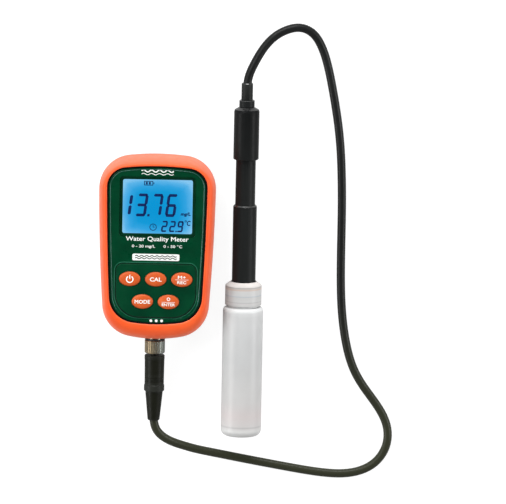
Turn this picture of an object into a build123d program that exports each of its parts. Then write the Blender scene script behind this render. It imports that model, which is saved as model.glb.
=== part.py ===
from build123d import *
from math import cos, radians, sin
import os

# Hand-held water quality meter with its plug-in probe, cable and storage bottle,
# laid out flat on a table. Millimetres, +Z up, table at z = 0.
# The meter lies on its back, display up and top end towards +Y. The probe lies to
# its right (+X) in its bottle, cable end towards +Y.
# Stations x and y are measured from the centre of the meter, heights from the table.

os.makedirs("parts", exist_ok=True)

# --- layout ---
METER_X, METER_Y = -54.34, 3.59     # centre of the meter
BOTTLE_R = 12.1
PROBE_DX = 52.6                     # probe axis to the right of the meter's
PROBE_Z = BOTTLE_R                  # probe axis: the bottle rests on the table
PLUG_Z = 15.5                       # height of the connector's axis

# --- meter outlines ---
# top apex y | top corner x, y | side x, y | bottom corner x, y | bottom apex y |
# top corner radius, bottom corner radius
BOOT_OUT = (55.1, 35.15, 50.9, 34.2, 2.0, 31.0, -50.4, -56.5, 20.0, 20.0)
FACE_OUT = (50.9, 30.2, 48.3, 29.3, 3.0, 27.2, -41.6, -45.3, 12.0, 16.0)
CASE_OUT = (52.7, 32.8, 50.3, 31.9, 3.0, 29.8, -44.2, -47.9, 16.5, 18.6)
OUTWARDS = (1, 1, 1, 1, 0, 1, -1, -1, 1, 1)   # change of each column per mm of growth

# --- meter heights ---
BACK_Z = 0.6                        # back panel, just above the table
FLANK_Z = 1.7                       # lower edge of the case's side wall
FLOOR_Z = 5.0                       # inside of the back
SPLIT_Z = 8.0                       # case split line
JOINT_Z = 17.0                      # where the two halves' screw bosses meet
SPLIT_GAP = 0.1                     # between the two halves
BOARD_Z, BOARD_T = 21.0, 1.6        # circuit board underside and thickness
BOARD_TOP = BOARD_Z + BOARD_T
INNER_Z = 28.2                      # inside of the front wall
SHOULDER_Z = 29.3                   # case shoulder, under the boot's front lip
LENS_Z = 29.4                       # underside of the display lens
OVERLAY_Z = 30.3                    # underside of the keypad overlay
FACE_Z = 30.6                       # front face
SEAT_GAP = 0.05                     # between a flat piece and its seat
ROOT = 0.5                          # how far bosses and walls start inside the wall they stand on

# --- display ---
LCD_X, LCD_Y = 0.3, 26.05
LCD_W = 46.0
WINDOW_W, WINDOW_H = 41.8, 32.9
LENS_LAP = 1.8                      # lens beyond the window, all round
LENS_R = 2.0

# --- keys ---
KEY_A, KEY_B = 13.1, 9.0            # full axes of the oval
KEY_GAP = 0.2
KEY_HOLE = (KEY_A + 2 * KEY_GAP, KEY_B + 2 * KEY_GAP)
KEY_PITCH = 15.6
KEY_ROW_1, KEY_ROW_2 = -17.8, -31.5
KEYS = {
    "power_button": (-KEY_PITCH, KEY_ROW_1),
    "cal_button": (0.0, KEY_ROW_1),
    "memory_button": (KEY_PITCH, KEY_ROW_1),
    "mode_button": (-KEY_PITCH / 2, KEY_ROW_2),
    "enter_button": (KEY_PITCH / 2, KEY_ROW_2),
}
KEY_POINTS = list(KEYS.values())
PAD_TOP, PAD_BOTTOM, PAD_HALF = -8.7, -40.8, 23.9

# --- screws ---
CASE_SCREWS = ((27.15, 20.0), (-27.15, 20.0), (24.6, -24.0), (-24.6, -24.0))
BOARD_SCREWS = ((25.2, 40.5), (-25.2, 40.5), (24.6, -11.0), (-24.6, -11.0))
DOOR_SCREWS = ((14.0, -6.4), (-14.0, -6.4), (14.0, 44.0), (-14.0, 44.0))
BOSS_R, BOARD_BOSS_R = 2.0, 1.6

# --- battery bay ---
BAY_X, BAY_Y0, BAY_Y1 = 23.6, -2.4, 40.6
BAY_TOP = 14.8
BAY_R = 1.5
DOOR_X, DOOR_Y0, DOOR_Y1, DOOR_R = 25.05, -9.5, 46.5, 6.0
DOOR_Z, DOOR_T = 0.7, 2.1
DOOR_GAP = 0.2
CELL_R, CELL_L, CELL_Z = 5.2, 44.5, 8.7
CELL_PITCH = 10.7
CELL_Y = [(BAY_Y0 + BAY_Y1) / 2 + (i - 1.5) * CELL_PITCH for i in range(4)]
CELLS = list(zip(CELL_Y, (1, -1, 1, -1)))   # station, x direction of the nub

# --- connector ---
BARREL_R, BARREL_BORE = 4.8, 3.75
PIN_CIRCLE, PIN_R = 2.2, 0.45
PINS = [(PIN_CIRCLE * cos(radians(a)), PIN_CIRCLE * sin(radians(a))) for a in range(0, 360, 60)]
NUT_R = 6.1

# --- cable and probe ---
CABLE_R = 2.55
CABLE_BORE = CABLE_R + 0.15         # bore of the pieces around the cable
STEM_R = 5.95                       # electrode body
SLEEVE_R = 7.1
HEAD_R = 7.6


# ===========================================================================
# Planes, sketches and simple pieces
# ===========================================================================
def level(z):
    """Plane at height z, centred on the meter."""
    return Plane(origin=(METER_X, METER_Y, z))


PROBE_PLANE = Plane(origin=(METER_X + PROBE_DX, METER_Y, PROBE_Z))
PLUG_PLANE = Plane(origin=(METER_X, METER_Y, PLUG_Z))


def across(plane, y):
    """Plane across the plug's or probe's axis at station y, facing +Y; its x runs to -X."""
    return Plane(origin=plane.origin + Vector(0, y, 0), x_dir=(-1, 0, 0), z_dir=(0, 1, 0))


def long_axis(plane):
    """Axis along Y through the plane's origin."""
    return Axis(plane.origin, (0, 1, 0))


def lerp(start, end, t):
    return tuple(a + (b - a) * t for a, b in zip(start, end))


def grown(shape, margin):
    """The meter outline moved outwards by margin."""
    return tuple(value + step * margin for value, step in zip(shape, OUTWARDS))


def outline(shape, plane):
    """Sketch of four shallow arcs with rounded corners."""
    top, top_x, top_y, side_x, side_y, low_x, low_y, bottom, top_r, bottom_r = shape
    with BuildSketch(plane) as s:
        with BuildLine():
            ThreePointArc((-top_x, top_y), (0, top), (top_x, top_y))
            ThreePointArc((top_x, top_y), (side_x, side_y), (low_x, low_y))
            ThreePointArc((low_x, low_y), (0, bottom), (-low_x, low_y))
            ThreePointArc((-low_x, low_y), (-side_x, side_y), (-top_x, top_y))
        make_face()
        fillet(vertices().sort_by(Axis.Y)[-2:], radius=top_r)
        fillet(vertices().sort_by(Axis.Y)[:2], radius=bottom_r)
    return s.sketch


def seal_ring(outer_inset, inner_inset, plane):
    """Sketch of a band that follows the case's outline."""
    with BuildSketch(plane) as s:
        add(outline(grown(CASE_OUT, -outer_inset), Plane.XY))
        add(outline(grown(CASE_OUT, -inner_inset), Plane.XY), mode=Mode.SUBTRACT)
    return s.sketch


def panel(x, y, width, length, radius, plane):
    """Sketch of a rectangle with rounded corners."""
    with BuildSketch(plane) as s:
        with Locations((x, y)):
            RectangleRounded(width, length, radius)
    return s.sketch


def bay_panel(margin, radius, plane):
    """Sketch of the battery bay's plan, grown by margin."""
    return panel(0, (BAY_Y0 + BAY_Y1) / 2, 2 * (BAY_X + margin), BAY_Y1 - BAY_Y0 + 2 * margin,
                 radius, plane)


def door_panel(margin, plane):
    """Sketch of the battery door's plan, grown by margin."""
    return panel(0, (DOOR_Y0 + DOOR_Y1) / 2, 2 * (DOOR_X + margin),
                 DOOR_Y1 - DOOR_Y0 + 2 * margin, DOOR_R + margin, plane)


def window_panel(margin, radius, plane):
    """Sketch of the display window, grown by margin."""
    return panel(LCD_X, LCD_Y, WINDOW_W + 2 * margin, WINDOW_H + 2 * margin, radius, plane)


def discs(points, radius, plane):
    """Sketch of equal discs."""
    with BuildSketch(plane) as s:
        with Locations(*points):
            Circle(radius)
    return s.sketch


def disc(radius, plane):
    return discs([(0, 0)], radius, plane)


def ovals(points, width, height, plane):
    """Sketch of equal ovals, by their full axes."""
    with BuildSketch(plane) as s:
        with Locations(*points):
            Ellipse(width / 2, height / 2)
    return s.sketch


def crosses(points, length, width, plane):
    """Sketch of the cross slots of screw heads."""
    with BuildSketch(plane) as s:
        with Locations(*points):
            Rectangle(length, width)
            Rectangle(width, length)
    return s.sketch


def key_pad(plane, margin=0.0):
    """Sketch of the key pad: square top, well rounded bottom."""
    with BuildSketch(plane) as s:
        with Locations((0, (PAD_TOP + PAD_BOTTOM) / 2)):
            Rectangle(2 * (PAD_HALF + margin), PAD_TOP - PAD_BOTTOM + 2 * margin)
        fillet(vertices().sort_by(Axis.Y)[-2:], radius=4 + margin)
        fillet(vertices().sort_by(Axis.Y)[:2], radius=14 + margin)
    return s.sketch


def profile(points, plane):
    """Closed (radius, station) profile for a turned piece."""
    with BuildSketch(plane) as s:
        with BuildLine():
            Polyline(*points, close=True)
        make_face()
    return s.sketch


def square(half):
    """Corners of a square, for the four wires of a bundle."""
    return [(x, y) for x in (-half, half) for y in (-half, half)]


def save(part, name):
    part.label = name
    export_step(part, "parts/" + name + ".step")


def extruded(name, sketch, amount, taper=0.0):
    """A piece that is one extrusion."""
    with BuildPart() as piece:
        extrude(sketch, amount=amount, taper=taper)
    save(piece.part, name)


def turned(name, plane, points):
    """A piece turned from (radius, station) points about the long axis of plane."""
    with BuildPart() as piece:
        revolve(profile(points, plane), axis=long_axis(plane))
    save(piece.part, name)


def cross_screws(name, points, head, shank, slot):
    """Screws driven from below; head and shank are (radius, z, height)."""
    head_r, head_z, head_height = head
    shank_r, shank_z, shank_length = shank
    slot_length, slot_width, slot_depth = slot
    with BuildPart() as screws:
        extrude(discs(points, head_r, level(head_z)), amount=head_height)
        extrude(discs(points, shank_r, level(shank_z)), amount=shank_length)
        extrude(crosses(points, slot_length, slot_width, level(head_z)), amount=slot_depth,
                mode=Mode.SUBTRACT)
    save(screws.part, name)


# ===========================================================================
# Meter: boot and case
# ===========================================================================
BOOT_MID, BOOT_FRONT = 14.0, 17.8   # height of the widest line, rise of the front above it
REAR_INSET = 4.0                    # taper of the boot's back
BOOT_FULLNESS = 0.7                 # below 1, the front edge is fuller than an ellipse
REAR_ANGLES = (70, 55, 38, 20)      # degrees from the widest line, back to middle
FRONT_ANGLES = (0, 20, 40, 55, 68, 78, 84)
BOOT_FLOOR_Z = 1.6                  # inside of the boot's back

# Moulded rubber boot, stretched over the case.
with BuildPart() as boot:
    rings = []
    for angle in REAR_ANGLES:
        z = BOOT_MID * (1 - sin(radians(angle)) / sin(radians(REAR_ANGLES[0])))
        shape = lerp(grown(BOOT_OUT, -REAR_INSET), BOOT_OUT, cos(radians(angle)))
        rings.append(outline(shape, level(z)))
    for angle in FRONT_ANGLES:
        z = BOOT_MID + BOOT_FRONT * sin(radians(angle))
        shape = lerp(FACE_OUT, BOOT_OUT, cos(radians(angle)) ** BOOT_FULLNESS)
        rings.append(outline(shape, level(z)))
    loft(rings)
    # room for the case, then the front and back openings
    extrude(outline(grown(CASE_OUT, 0.08), level(BOOT_FLOOR_Z)),
            amount=SHOULDER_Z + 0.1 - BOOT_FLOOR_Z, mode=Mode.SUBTRACT)
    extrude(outline(FACE_OUT, level(20)), amount=20, mode=Mode.SUBTRACT)
    extrude(outline(grown(CASE_OUT, -3.0), level(-1)), amount=10, mode=Mode.SUBTRACT)
    # hole for the socket barrel, wider where its nut sits
    extrude(disc(5.0, across(PLUG_PLANE, -60)), amount=20, mode=Mode.SUBTRACT)
    extrude(disc(7.4, across(PLUG_PLANE, -50.4)), amount=8, mode=Mode.SUBTRACT)
save(boot.part, "boot")

CASE_WALL = 2.2
CASE_IN = grown(CASE_OUT, -CASE_WALL)
GROOVE_OUTER, GROOVE_INNER = 0.55, 1.65   # insets of the case seal's groove
GROOVE_Z, GROOVE_RISE = 7.4, 0.7          # groove floor, and groove depth above the split
SEAL_PLAY = 0.1
DOOR_GROOVE_Z, DOOR_GROOVE_H = 2.0, 1.8

# Back half of the case, with the battery box and the screw bosses.
with BuildPart() as rear_housing:
    extrude(outline(CASE_OUT, level(FLANK_Z)), amount=SPLIT_Z - FLANK_Z)
    extrude(outline(grown(CASE_OUT, -3.1), level(BACK_Z)), amount=2)
    extrude(outline(CASE_IN, level(FLOOR_Z)), amount=10, mode=Mode.SUBTRACT)
    # battery box, case screw bosses, door screw bosses
    extrude(bay_panel(1.2, 2.5, level(FLOOR_Z - ROOT)), amount=BAY_TOP + 1.4 - FLOOR_Z + ROOT)
    extrude(discs(CASE_SCREWS, BOSS_R, level(FLOOR_Z - ROOT)), amount=JOINT_Z - FLOOR_Z + ROOT)
    extrude(discs(DOOR_SCREWS, BOSS_R, level(FLOOR_Z - ROOT)), amount=8.4 - FLOOR_Z + ROOT)
    # door recess, bay and the groove for the door's seal
    extrude(door_panel(DOOR_GAP, level(0)), amount=3.0, mode=Mode.SUBTRACT)
    extrude(bay_panel(0, BAY_R, level(2)), amount=BAY_TOP - 2, mode=Mode.SUBTRACT)
    extrude(bay_panel(1.0, BAY_R + 1.0, level(DOOR_GROOVE_Z)), amount=DOOR_GROOVE_H,
            mode=Mode.SUBTRACT)
    # groove for the case seal
    extrude(seal_ring(GROOVE_OUTER, GROOVE_INNER, level(GROOVE_Z)), amount=2,
            mode=Mode.SUBTRACT)
    # screw holes: sunk heads and shanks of the case screws, then the door screws
    extrude(discs(CASE_SCREWS, 1.5, level(0)), amount=2.4, mode=Mode.SUBTRACT)
    extrude(discs(CASE_SCREWS, 1.1, level(0)), amount=20, mode=Mode.SUBTRACT)
    extrude(discs(DOOR_SCREWS, 1.05, level(0)), amount=7.4, mode=Mode.SUBTRACT)
save(rear_housing.part, "rear_housing")

FACE_GAP = 0.65                     # between the face and the boot's lip

# Front half of the case: the face, the window and the key openings.
with BuildPart() as front_housing:
    extrude(outline(CASE_OUT, level(SPLIT_Z + SPLIT_GAP)),
            amount=SHOULDER_Z - SPLIT_Z - SPLIT_GAP)
    extrude(outline(grown(FACE_OUT, -FACE_GAP), level(SHOULDER_Z - 1)),
            amount=FACE_Z - SHOULDER_Z + 1)
    fillet(front_housing.part.faces().sort_by(Axis.Z)[-1].edges(), radius=0.9)
    extrude(outline(CASE_IN, level(SPLIT_Z)), amount=INNER_Z - SPLIT_Z, mode=Mode.SUBTRACT)
    # bosses for the case and board screws, and their holes
    case_boss_z = JOINT_Z + SPLIT_GAP
    board_boss_z = BOARD_TOP + SEAT_GAP
    extrude(discs(CASE_SCREWS, BOSS_R, level(case_boss_z)), amount=INNER_Z - case_boss_z + ROOT)
    extrude(discs(BOARD_SCREWS, BOARD_BOSS_R, level(board_boss_z)),
            amount=INNER_Z - board_boss_z + ROOT)
    extrude(discs(CASE_SCREWS, 1.05, level(16)), amount=8, mode=Mode.SUBTRACT)
    extrude(discs(BOARD_SCREWS, 0.85, level(22)), amount=4.6, mode=Mode.SUBTRACT)
    # window and lens recess
    extrude(window_panel(0, 1.2, level(20)), amount=20, mode=Mode.SUBTRACT)
    extrude(window_panel(LENS_LAP + 0.1, LENS_R + 0.1, level(LENS_Z - SEAT_GAP)), amount=5,
            mode=Mode.SUBTRACT)
    # pocket of the key pad and the key openings
    extrude(key_pad(level(OVERLAY_Z - SEAT_GAP), 0.1), amount=5, mode=Mode.SUBTRACT)
    extrude(ovals(KEY_POINTS, *KEY_HOLE, level(24)), amount=10, mode=Mode.SUBTRACT)
    # socket hole in the lower end wall, case seal groove
    extrude(disc(4.9, across(PLUG_PLANE, -60)), amount=20, mode=Mode.SUBTRACT)
    extrude(seal_ring(GROOVE_OUTER, GROOVE_INNER, level(SPLIT_Z)), amount=GROOVE_RISE,
            mode=Mode.SUBTRACT)
save(front_housing.part, "front_housing")

extruded(
    "housing_gasket",
    seal_ring(GROOVE_OUTER + SEAL_PLAY, GROOVE_INNER - SEAL_PLAY, level(GROOVE_Z + SEAL_PLAY)),
    SPLIT_Z + GROOVE_RISE - GROOVE_Z - 2 * SEAL_PLAY,
)

# Four case screws, driven from the back.
cross_screws("housing_screws", CASE_SCREWS,
             head=(1.4, 0.9, 1.45), shank=(1.0, 2.0, 21.0), slot=(1.7, 0.4, 0.6))

# ===========================================================================
# Meter: display and board
# ===========================================================================
LCD_Z, LCD_T = 25.65, 2.4
ZEBRA_DY, ZEBRA_W = 18.9, 2.2       # strips above and below the display's centre

with BuildPart() as display_lens:
    extrude(window_panel(LENS_LAP, LENS_R, level(LENS_Z)), amount=1.1)
    chamfer(display_lens.part.faces().sort_by(Axis.Z)[-1].edges(), length=0.25)
save(display_lens.part, "display_lens")

extruded("lcd_panel", panel(LCD_X, LCD_Y, LCD_W, 41, 0.5, level(LCD_Z)), LCD_T)
extruded("backlight", panel(LCD_X, LCD_Y, LCD_W, 34, 0.5, level(23.3)), 2.2)

# Conductive strips between the board and the display.
with BuildPart() as zebra_strips:
    for side in (-1, 1):
        extrude(panel(LCD_X, LCD_Y + side * ZEBRA_DY, LCD_W, ZEBRA_W, 0.3,
                      level(BOARD_TOP + SEAT_GAP)),
                amount=LCD_Z - BOARD_TOP - 2 * SEAT_GAP)
save(zebra_strips.part, "zebra_strips")

BOARD_END = -38.6                   # the board is cut off square here
BOARD_CUT = 31.4                    # length of the cutting block

with BuildPart() as circuit_board:
    extrude(outline(grown(CASE_OUT, -3.4), level(BOARD_Z)), amount=BOARD_T)
    extrude(panel(0, BOARD_END - BOARD_CUT / 2, 80, BOARD_CUT, 0.5, level(20)), amount=4,
            mode=Mode.SUBTRACT)
    extrude(discs(CASE_SCREWS, 2.4, level(20)), amount=4, mode=Mode.SUBTRACT)
    extrude(discs(BOARD_SCREWS, 0.95, level(20)), amount=4, mode=Mode.SUBTRACT)
save(circuit_board.part, "circuit_board")

# Processor, converter, coil and connectors: x, y, width, length, thickness
COMPONENTS = (
    (-2, -14, 10, 10, 1.5), (12, -12, 6, 5, 1.8), (-14, -13, 7, 5, 1.6),
    (0, -30, 12, 5, 2.6), (14, -30, 5, 8, 2.2), (-15, -30, 6, 6, 2.4),
)

# They hang from the back of the board.
with BuildPart() as board_components:
    for x, y, width, length, thickness in COMPONENTS:
        extrude(panel(x, y, width, length, 0.4, level(BOARD_Z - SEAT_GAP - thickness)),
                amount=thickness)
save(board_components.part, "board_components")

with BuildPart() as board_screws:
    extrude(discs(BOARD_SCREWS, 1.5, level(20.0)), amount=0.95)
    extrude(discs(BOARD_SCREWS, 0.8, level(20.5)), amount=5.7)
save(board_screws.part, "board_screws")

# ===========================================================================
# Meter: keys
# ===========================================================================
KEY_TOP, KEY_BASE = 31.5, 27.4
FLANGE_Z, FLANGE_T, FLANGE_GROWTH = 26.8, 1.0, 2.0   # the growth is on the full axes
STEM_FOOT, STEM_LENGTH = 23.85, 3.4

# Snap domes, one under each key.
extruded("key_domes", discs(KEY_POINTS, 3.0, level(BOARD_TOP + 0.02)), 0.5, taper=35)

# Silicone mat that returns the keys; it is open under each stem.
with BuildPart() as keypad_mat:
    extrude(panel(0, -24.5, 44.4, 27, 6, level(25.4)), amount=0.7)
    extrude(discs(KEY_POINTS, 2.3, level(25)), amount=3, mode=Mode.SUBTRACT)
save(keypad_mat.part, "keypad_mat")

with BuildPart() as keypad_overlay:
    extrude(key_pad(level(OVERLAY_Z)), amount=0.65)
    fillet(keypad_overlay.part.faces().sort_by(Axis.Z)[-1].edges(), radius=0.3)
    extrude(ovals(KEY_POINTS, *KEY_HOLE, level(29)), amount=5, mode=Mode.SUBTRACT)
save(keypad_overlay.part, "keypad_overlay")

# Five oval keys, each with a retaining flange and a stem.
for key_name, point in KEYS.items():
    with BuildPart() as key:
        extrude(ovals([point], KEY_A, KEY_B, level(KEY_BASE)), amount=KEY_TOP - KEY_BASE)
        fillet(key.part.faces().sort_by(Axis.Z)[-1].edges(), radius=0.7)
        extrude(ovals([point], KEY_A + FLANGE_GROWTH, KEY_B + FLANGE_GROWTH, level(FLANGE_Z)),
                amount=FLANGE_T)
        extrude(discs([point], 2.0, level(STEM_FOOT)), amount=STEM_LENGTH)
    save(key.part, key_name)

# ===========================================================================
# Meter: battery bay
# ===========================================================================
with BuildPart() as battery_door:
    extrude(door_panel(0, level(DOOR_Z)), amount=DOOR_T)
    fillet(battery_door.part.faces().sort_by(Axis.Z)[0].edges(), radius=0.4)
    # sunk screw heads, then the through holes
    extrude(discs(DOOR_SCREWS, 2.1, level(0)), amount=1.7, mode=Mode.SUBTRACT)
    extrude(discs(DOOR_SCREWS, 1.05, level(0)), amount=5, mode=Mode.SUBTRACT)
    # five grip grooves
    with BuildSketch(level(DOOR_Z)) as grip:
        with GridLocations(0, 2.2, 1, 5):
            SlotOverall(16, 1.0)
    extrude(grip.sketch, amount=0.4, mode=Mode.SUBTRACT)
save(battery_door.part, "battery_door")

with BuildPart() as door_gasket:
    extrude(bay_panel(0.9, BAY_R + 0.9, level(DOOR_Z + DOOR_T + SEAT_GAP)), amount=0.9)
    extrude(bay_panel(0.1, BAY_R + 0.1, level(2)), amount=3, mode=Mode.SUBTRACT)
save(door_gasket.part, "door_gasket")

# Captive screws of the battery door.
cross_screws("door_screws", DOOR_SCREWS,
             head=(1.9, 0.8, 0.85), shank=(0.95, 1.2, 5.6), slot=(2.4, 0.45, 0.5))

NUB_R, NUB_L = 1.9, 1.6
NUB_RISE = 1.2                      # nub beyond the end of the can

# Four cells across the bay, with alternating direction.
with BuildPart() as batteries:
    for y, d in CELLS:
        can_start = (METER_X - d * CELL_L / 2, METER_Y + y, CELL_Z)
        nub_start = (METER_X + d * (CELL_L / 2 - NUB_L), METER_Y + y, CELL_Z)
        extrude(disc(CELL_R, Plane(origin=can_start, z_dir=(d, 0, 0))), amount=CELL_L - NUB_RISE)
        extrude(disc(NUB_R, Plane(origin=nub_start, z_dir=(d, 0, 0))), amount=NUB_L)
save(batteries.part, "batteries")

# Side of the bay, first and last cell each plate touches
CONTACTS = ((1, 0, 1), (1, 2, 3), (-1, 0, 0), (-1, 1, 2), (-1, 3, 3))
CONTACT_REACH = 4.2                 # plate beyond a cell's axis

# Contact plates at the ends of the bay: pairs of cells are joined in series.
with BuildPart() as battery_contacts:
    for side, first, last in CONTACTS:
        with BuildSketch(level(5.2)) as plate:
            with Locations((side * (BAY_X - 0.2), (CELL_Y[first] + CELL_Y[last]) / 2)):
                Rectangle(0.3, CELL_Y[last] - CELL_Y[first] + 2 * CONTACT_REACH)
        extrude(plate.sketch, amount=7.6)
save(battery_contacts.part, "battery_contacts")

with BuildPart() as battery_springs:
    for y, d in CELLS:
        with BuildLine() as coil:
            Helix(pitch=0.45, height=0.5, radius=2.4,
                  center=(METER_X - d * 23.0, METER_Y + y, CELL_Z), direction=(d, 0, 0))
        with BuildSketch(Plane(origin=coil.line @ 0, z_dir=coil.line % 0)) as wire:
            Circle(0.17)
        sweep(wire.sketch, path=coil.line)
save(battery_springs.part, "battery_springs")

# ===========================================================================
# Meter: cable socket
# ===========================================================================
turned("socket_barrel", PLUG_PLANE, [
    (BARREL_BORE, -62.4), (BARREL_R - 0.3, -62.4), (BARREL_R, -62.1), (BARREL_R, -45.2),
    (6.6, -45.2), (6.6, -43.7), (BARREL_BORE, -43.7),
])

with BuildPart() as socket_nut:
    with BuildSketch(across(PLUG_PLANE, -50.2)) as hexagon:
        RegularPolygon(radius=6.0, side_count=6, major_radius=False)
        Circle(BARREL_R + 0.05, mode=Mode.SUBTRACT)
    extrude(hexagon.sketch, amount=2.1)
save(socket_nut.part, "socket_nut")

with BuildPart() as socket_insulator:
    extrude(disc(BARREL_BORE - 0.05, across(PLUG_PLANE, -50)), amount=6)
    extrude(discs(PINS, PIN_R + 0.03, across(PLUG_PLANE, -51)), amount=10, mode=Mode.SUBTRACT)
save(socket_insulator.part, "socket_insulator")

with BuildPart() as socket_pins:
    extrude(discs(PINS, PIN_R, across(PLUG_PLANE, -56)), amount=15)
    fillet(socket_pins.part.edges().group_by(Axis.Y)[0], radius=0.3)
save(socket_pins.part, "socket_pins")

with BuildPart() as socket_seal:
    with BuildSketch(across(PLUG_PLANE, -57.2)) as ring:
        Circle(6.0)
        Circle(BARREL_R + 0.05, mode=Mode.SUBTRACT)
    extrude(ring.sketch, amount=0.65)
save(socket_seal.part, "socket_seal")

WIRE_START = METER_Y - 40.95        # just clear of the pins' inner ends
UPPER_TURN, MIDDLE_TURN, LOWER_TURN = -37.0, -35.8, -34.6   # stations where the wires turn up

# Wires from the pins up to the board.
with BuildPart() as socket_wires:
    for pin_x, pin_z in PINS:
        turn = UPPER_TURN if pin_z > 1 else (LOWER_TURN if pin_z < -1 else MIDDLE_TURN)
        x, y, z = METER_X + pin_x, METER_Y + turn, PLUG_Z + pin_z
        with BuildLine() as run:
            FilletPolyline((x, WIRE_START, z), (x, y, z), (x, y, BOARD_Z - 0.1), radius=1.0)
        with BuildSketch(Plane(origin=(x, WIRE_START, z), z_dir=(0, 1, 0))) as wire:
            Circle(0.4)
        sweep(wire.sketch, path=run.line)
save(socket_wires.part, "socket_wires")

# ===========================================================================
# Plug
# ===========================================================================
# Knurled coupling nut.
with BuildPart() as coupling_nut:
    nut_points = [
        (BARREL_R + 0.08, -57.3), (NUT_R - 0.4, -57.3), (NUT_R, -57.7), (NUT_R, -64.8),
        (NUT_R - 0.4, -65.2), (2.5, -65.2), (2.5, -63.6), (BARREL_R + 0.08, -63.6),
    ]
    revolve(profile(nut_points, PLUG_PLANE), axis=long_axis(PLUG_PLANE))
    with BuildSketch(across(PLUG_PLANE, -64.6)) as knurl:
        with PolarLocations(NUT_R + 0.1, 30):
            Circle(0.36)
    extrude(knurl.sketch, amount=6.7, mode=Mode.SUBTRACT)
save(coupling_nut.part, "coupling_nut")

turned("plug_shell", PLUG_PLANE, [
    (3.0, -50.6), (3.65, -50.6), (3.65, -62.6), (4.6, -62.6), (4.6, -63.5), (2.42, -63.5),
    (2.42, -68.0), (1.8, -68.0), (1.8, -62.8), (3.0, -62.8),
])

with BuildPart() as plug_insulator:
    extrude(disc(2.95, across(PLUG_PLANE, -62.6)), amount=11.6)
    extrude(discs(PINS, PIN_R + 0.05, across(PLUG_PLANE, -58)), amount=10, mode=Mode.SUBTRACT)
save(plug_insulator.part, "plug_insulator")

extruded("plug_wires", discs(square(0.8), 0.35, across(PLUG_PLANE, -79.95)), 17.25)

# Moulded grip with three fine grooves near the collar.
grip_points = [(2.5, -66.5), (5.75, -66.5), (6.05, -66.8), (6.05, -69.0), (5.95, -69.4)]
for y in (-80.3, -81.2, -82.1):
    grip_points += [(5.83, y + 0.2), (5.6, y + 0.1), (5.6, y - 0.1), (5.83, y - 0.2)]
grip_points += [
    (5.8, -84.5), (4.45, -84.5), (4.45, -81.9), (3.2, -81.9), (3.2, -69.0), (2.5, -69.0),
]
turned("plug_grip", PLUG_PLANE, grip_points)

turned("grip_collar", PLUG_PLANE, [
    (4.45, -84.55), (5.8, -84.55), (6.1, -84.9), (6.1, -88.0), (5.7, -88.45), (4.45, -88.45),
])

# Tapered strain relief.
turned("plug_strain_relief", PLUG_PLANE, [
    (CABLE_BORE, -82.0), (4.4, -82.0), (4.4, -88.5), (5.2, -88.5), (5.15, -90.0),
    (3.7, -105.2), (3.55, -106.0), (3.3, -106.3), (CABLE_BORE, -106.3),
])

# ===========================================================================
# Cable
# ===========================================================================
# Guide points (x, y from the meter's centre, height) of the whole cable, from inside
# the probe's head to inside the plug; the cable is a cubic B-spline over them. It is
# made in two halves that meet at the point CABLE_SPLIT on the right-hand run.
CABLE_GUIDE = [
    (52.6, 70.0, 12.1), (52.6, 78.0, 12.1), (52.6, 86.0, 12.1), (52.6, 94.0, 12.1),
    (52.6, 101.5, 12.1), (55.0, 108.0, 12.0), (58.6, 115.0, 11.3), (62.6, 121.6, 10.1),
    (68.4, 127.6, 8.6), (75.1, 131.2, 7.1), (82.0, 132.9, 5.8), (88.2, 131.5, 4.7),
    (93.3, 127.3, 3.8), (96.8, 121.0, 3.2), (99.9, 112.7, 2.8), (103.0, 99.5, 2.6),
    (105.9, 84.1, 2.6), (107.9, 71.9, 2.6), (109.4, 58.5, 2.6), (110.3, 43.0, 2.6),
    (110.8, 25.0, 2.6), (110.8, 6.2, 2.6), (110.8, -12.0, 2.6), (111.1, -27.0, 2.6),
    (111.9, -40.0, 2.6), (113.4, -52.0, 2.6), (115.8, -64.4, 2.6), (119.6, -76.0, 2.6),
    (126.0, -86.5, 2.6), (134.5, -97.0, 2.6), (141.5, -109.0, 2.6), (141.5, -123.0, 2.6),
    (133.0, -135.0, 2.6), (118.0, -140.2, 2.6), (100.7, -139.2, 2.6), (84.0, -136.6, 2.6),
    (64.6, -133.3, 2.6), (50.0, -130.6, 3.1), (36.8, -127.9, 4.5), (26.0, -125.6, 6.5),
    (18.3, -123.0, 8.9), (11.2, -120.4, 11.6), (5.6, -117.0, 13.8), (1.7, -112.9, 15.2),
    (0.0, -107.5, 15.5), (0.0, -102.0, 15.5), (0.0, -96.0, 15.5), (0.0, -88.0, 15.5),
    (0.0, -80.0, 15.5), (0.0, -72.0, 15.5),
]
CABLE_SPLIT = 25
CABLE_GAP = 0.04                    # each half stops this short of the split


def blend(points, weights):
    """Weighted sum of points."""
    return sum((point * weight for point, weight in zip(points, weights)), Vector(0, 0, 0))


def cable_rings(first, last):
    """Cross sections of the cable between two guide points, two to a span."""
    end = len(CABLE_GUIDE) - 1
    rings = []
    for i in range(first, last + 1):
        near = [Vector(*CABLE_GUIDE[min(i + k, end)]) for k in (-1, 0, 1, 2)]
        for t in (0.0, 0.5):
            if i == last and t > 0:
                break
            place = blend(near, ((1 - t) ** 3, 3 * t**3 - 6 * t**2 + 4,
                                 -3 * t**3 + 3 * t**2 + 3 * t + 1, t**3)) * (1 / 6)
            ahead = blend(near, (-((1 - t) ** 2), 3 * t**2 - 4 * t,
                                 -3 * t**2 + 2 * t + 1, t**2)).normalized()
            if i == CABLE_SPLIT and t == 0:
                place = place + ahead * (CABLE_GAP if i == first else -CABLE_GAP)
            place = place + Vector(METER_X, METER_Y, 0)
            rings.append(disc(CABLE_R, Plane(origin=place, x_dir=(0, 0, 1), z_dir=ahead)))
    return rings


def cable_half(name, first, last):
    with BuildPart() as half:
        loft(cable_rings(first, last))
    save(half.part, name)


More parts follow.
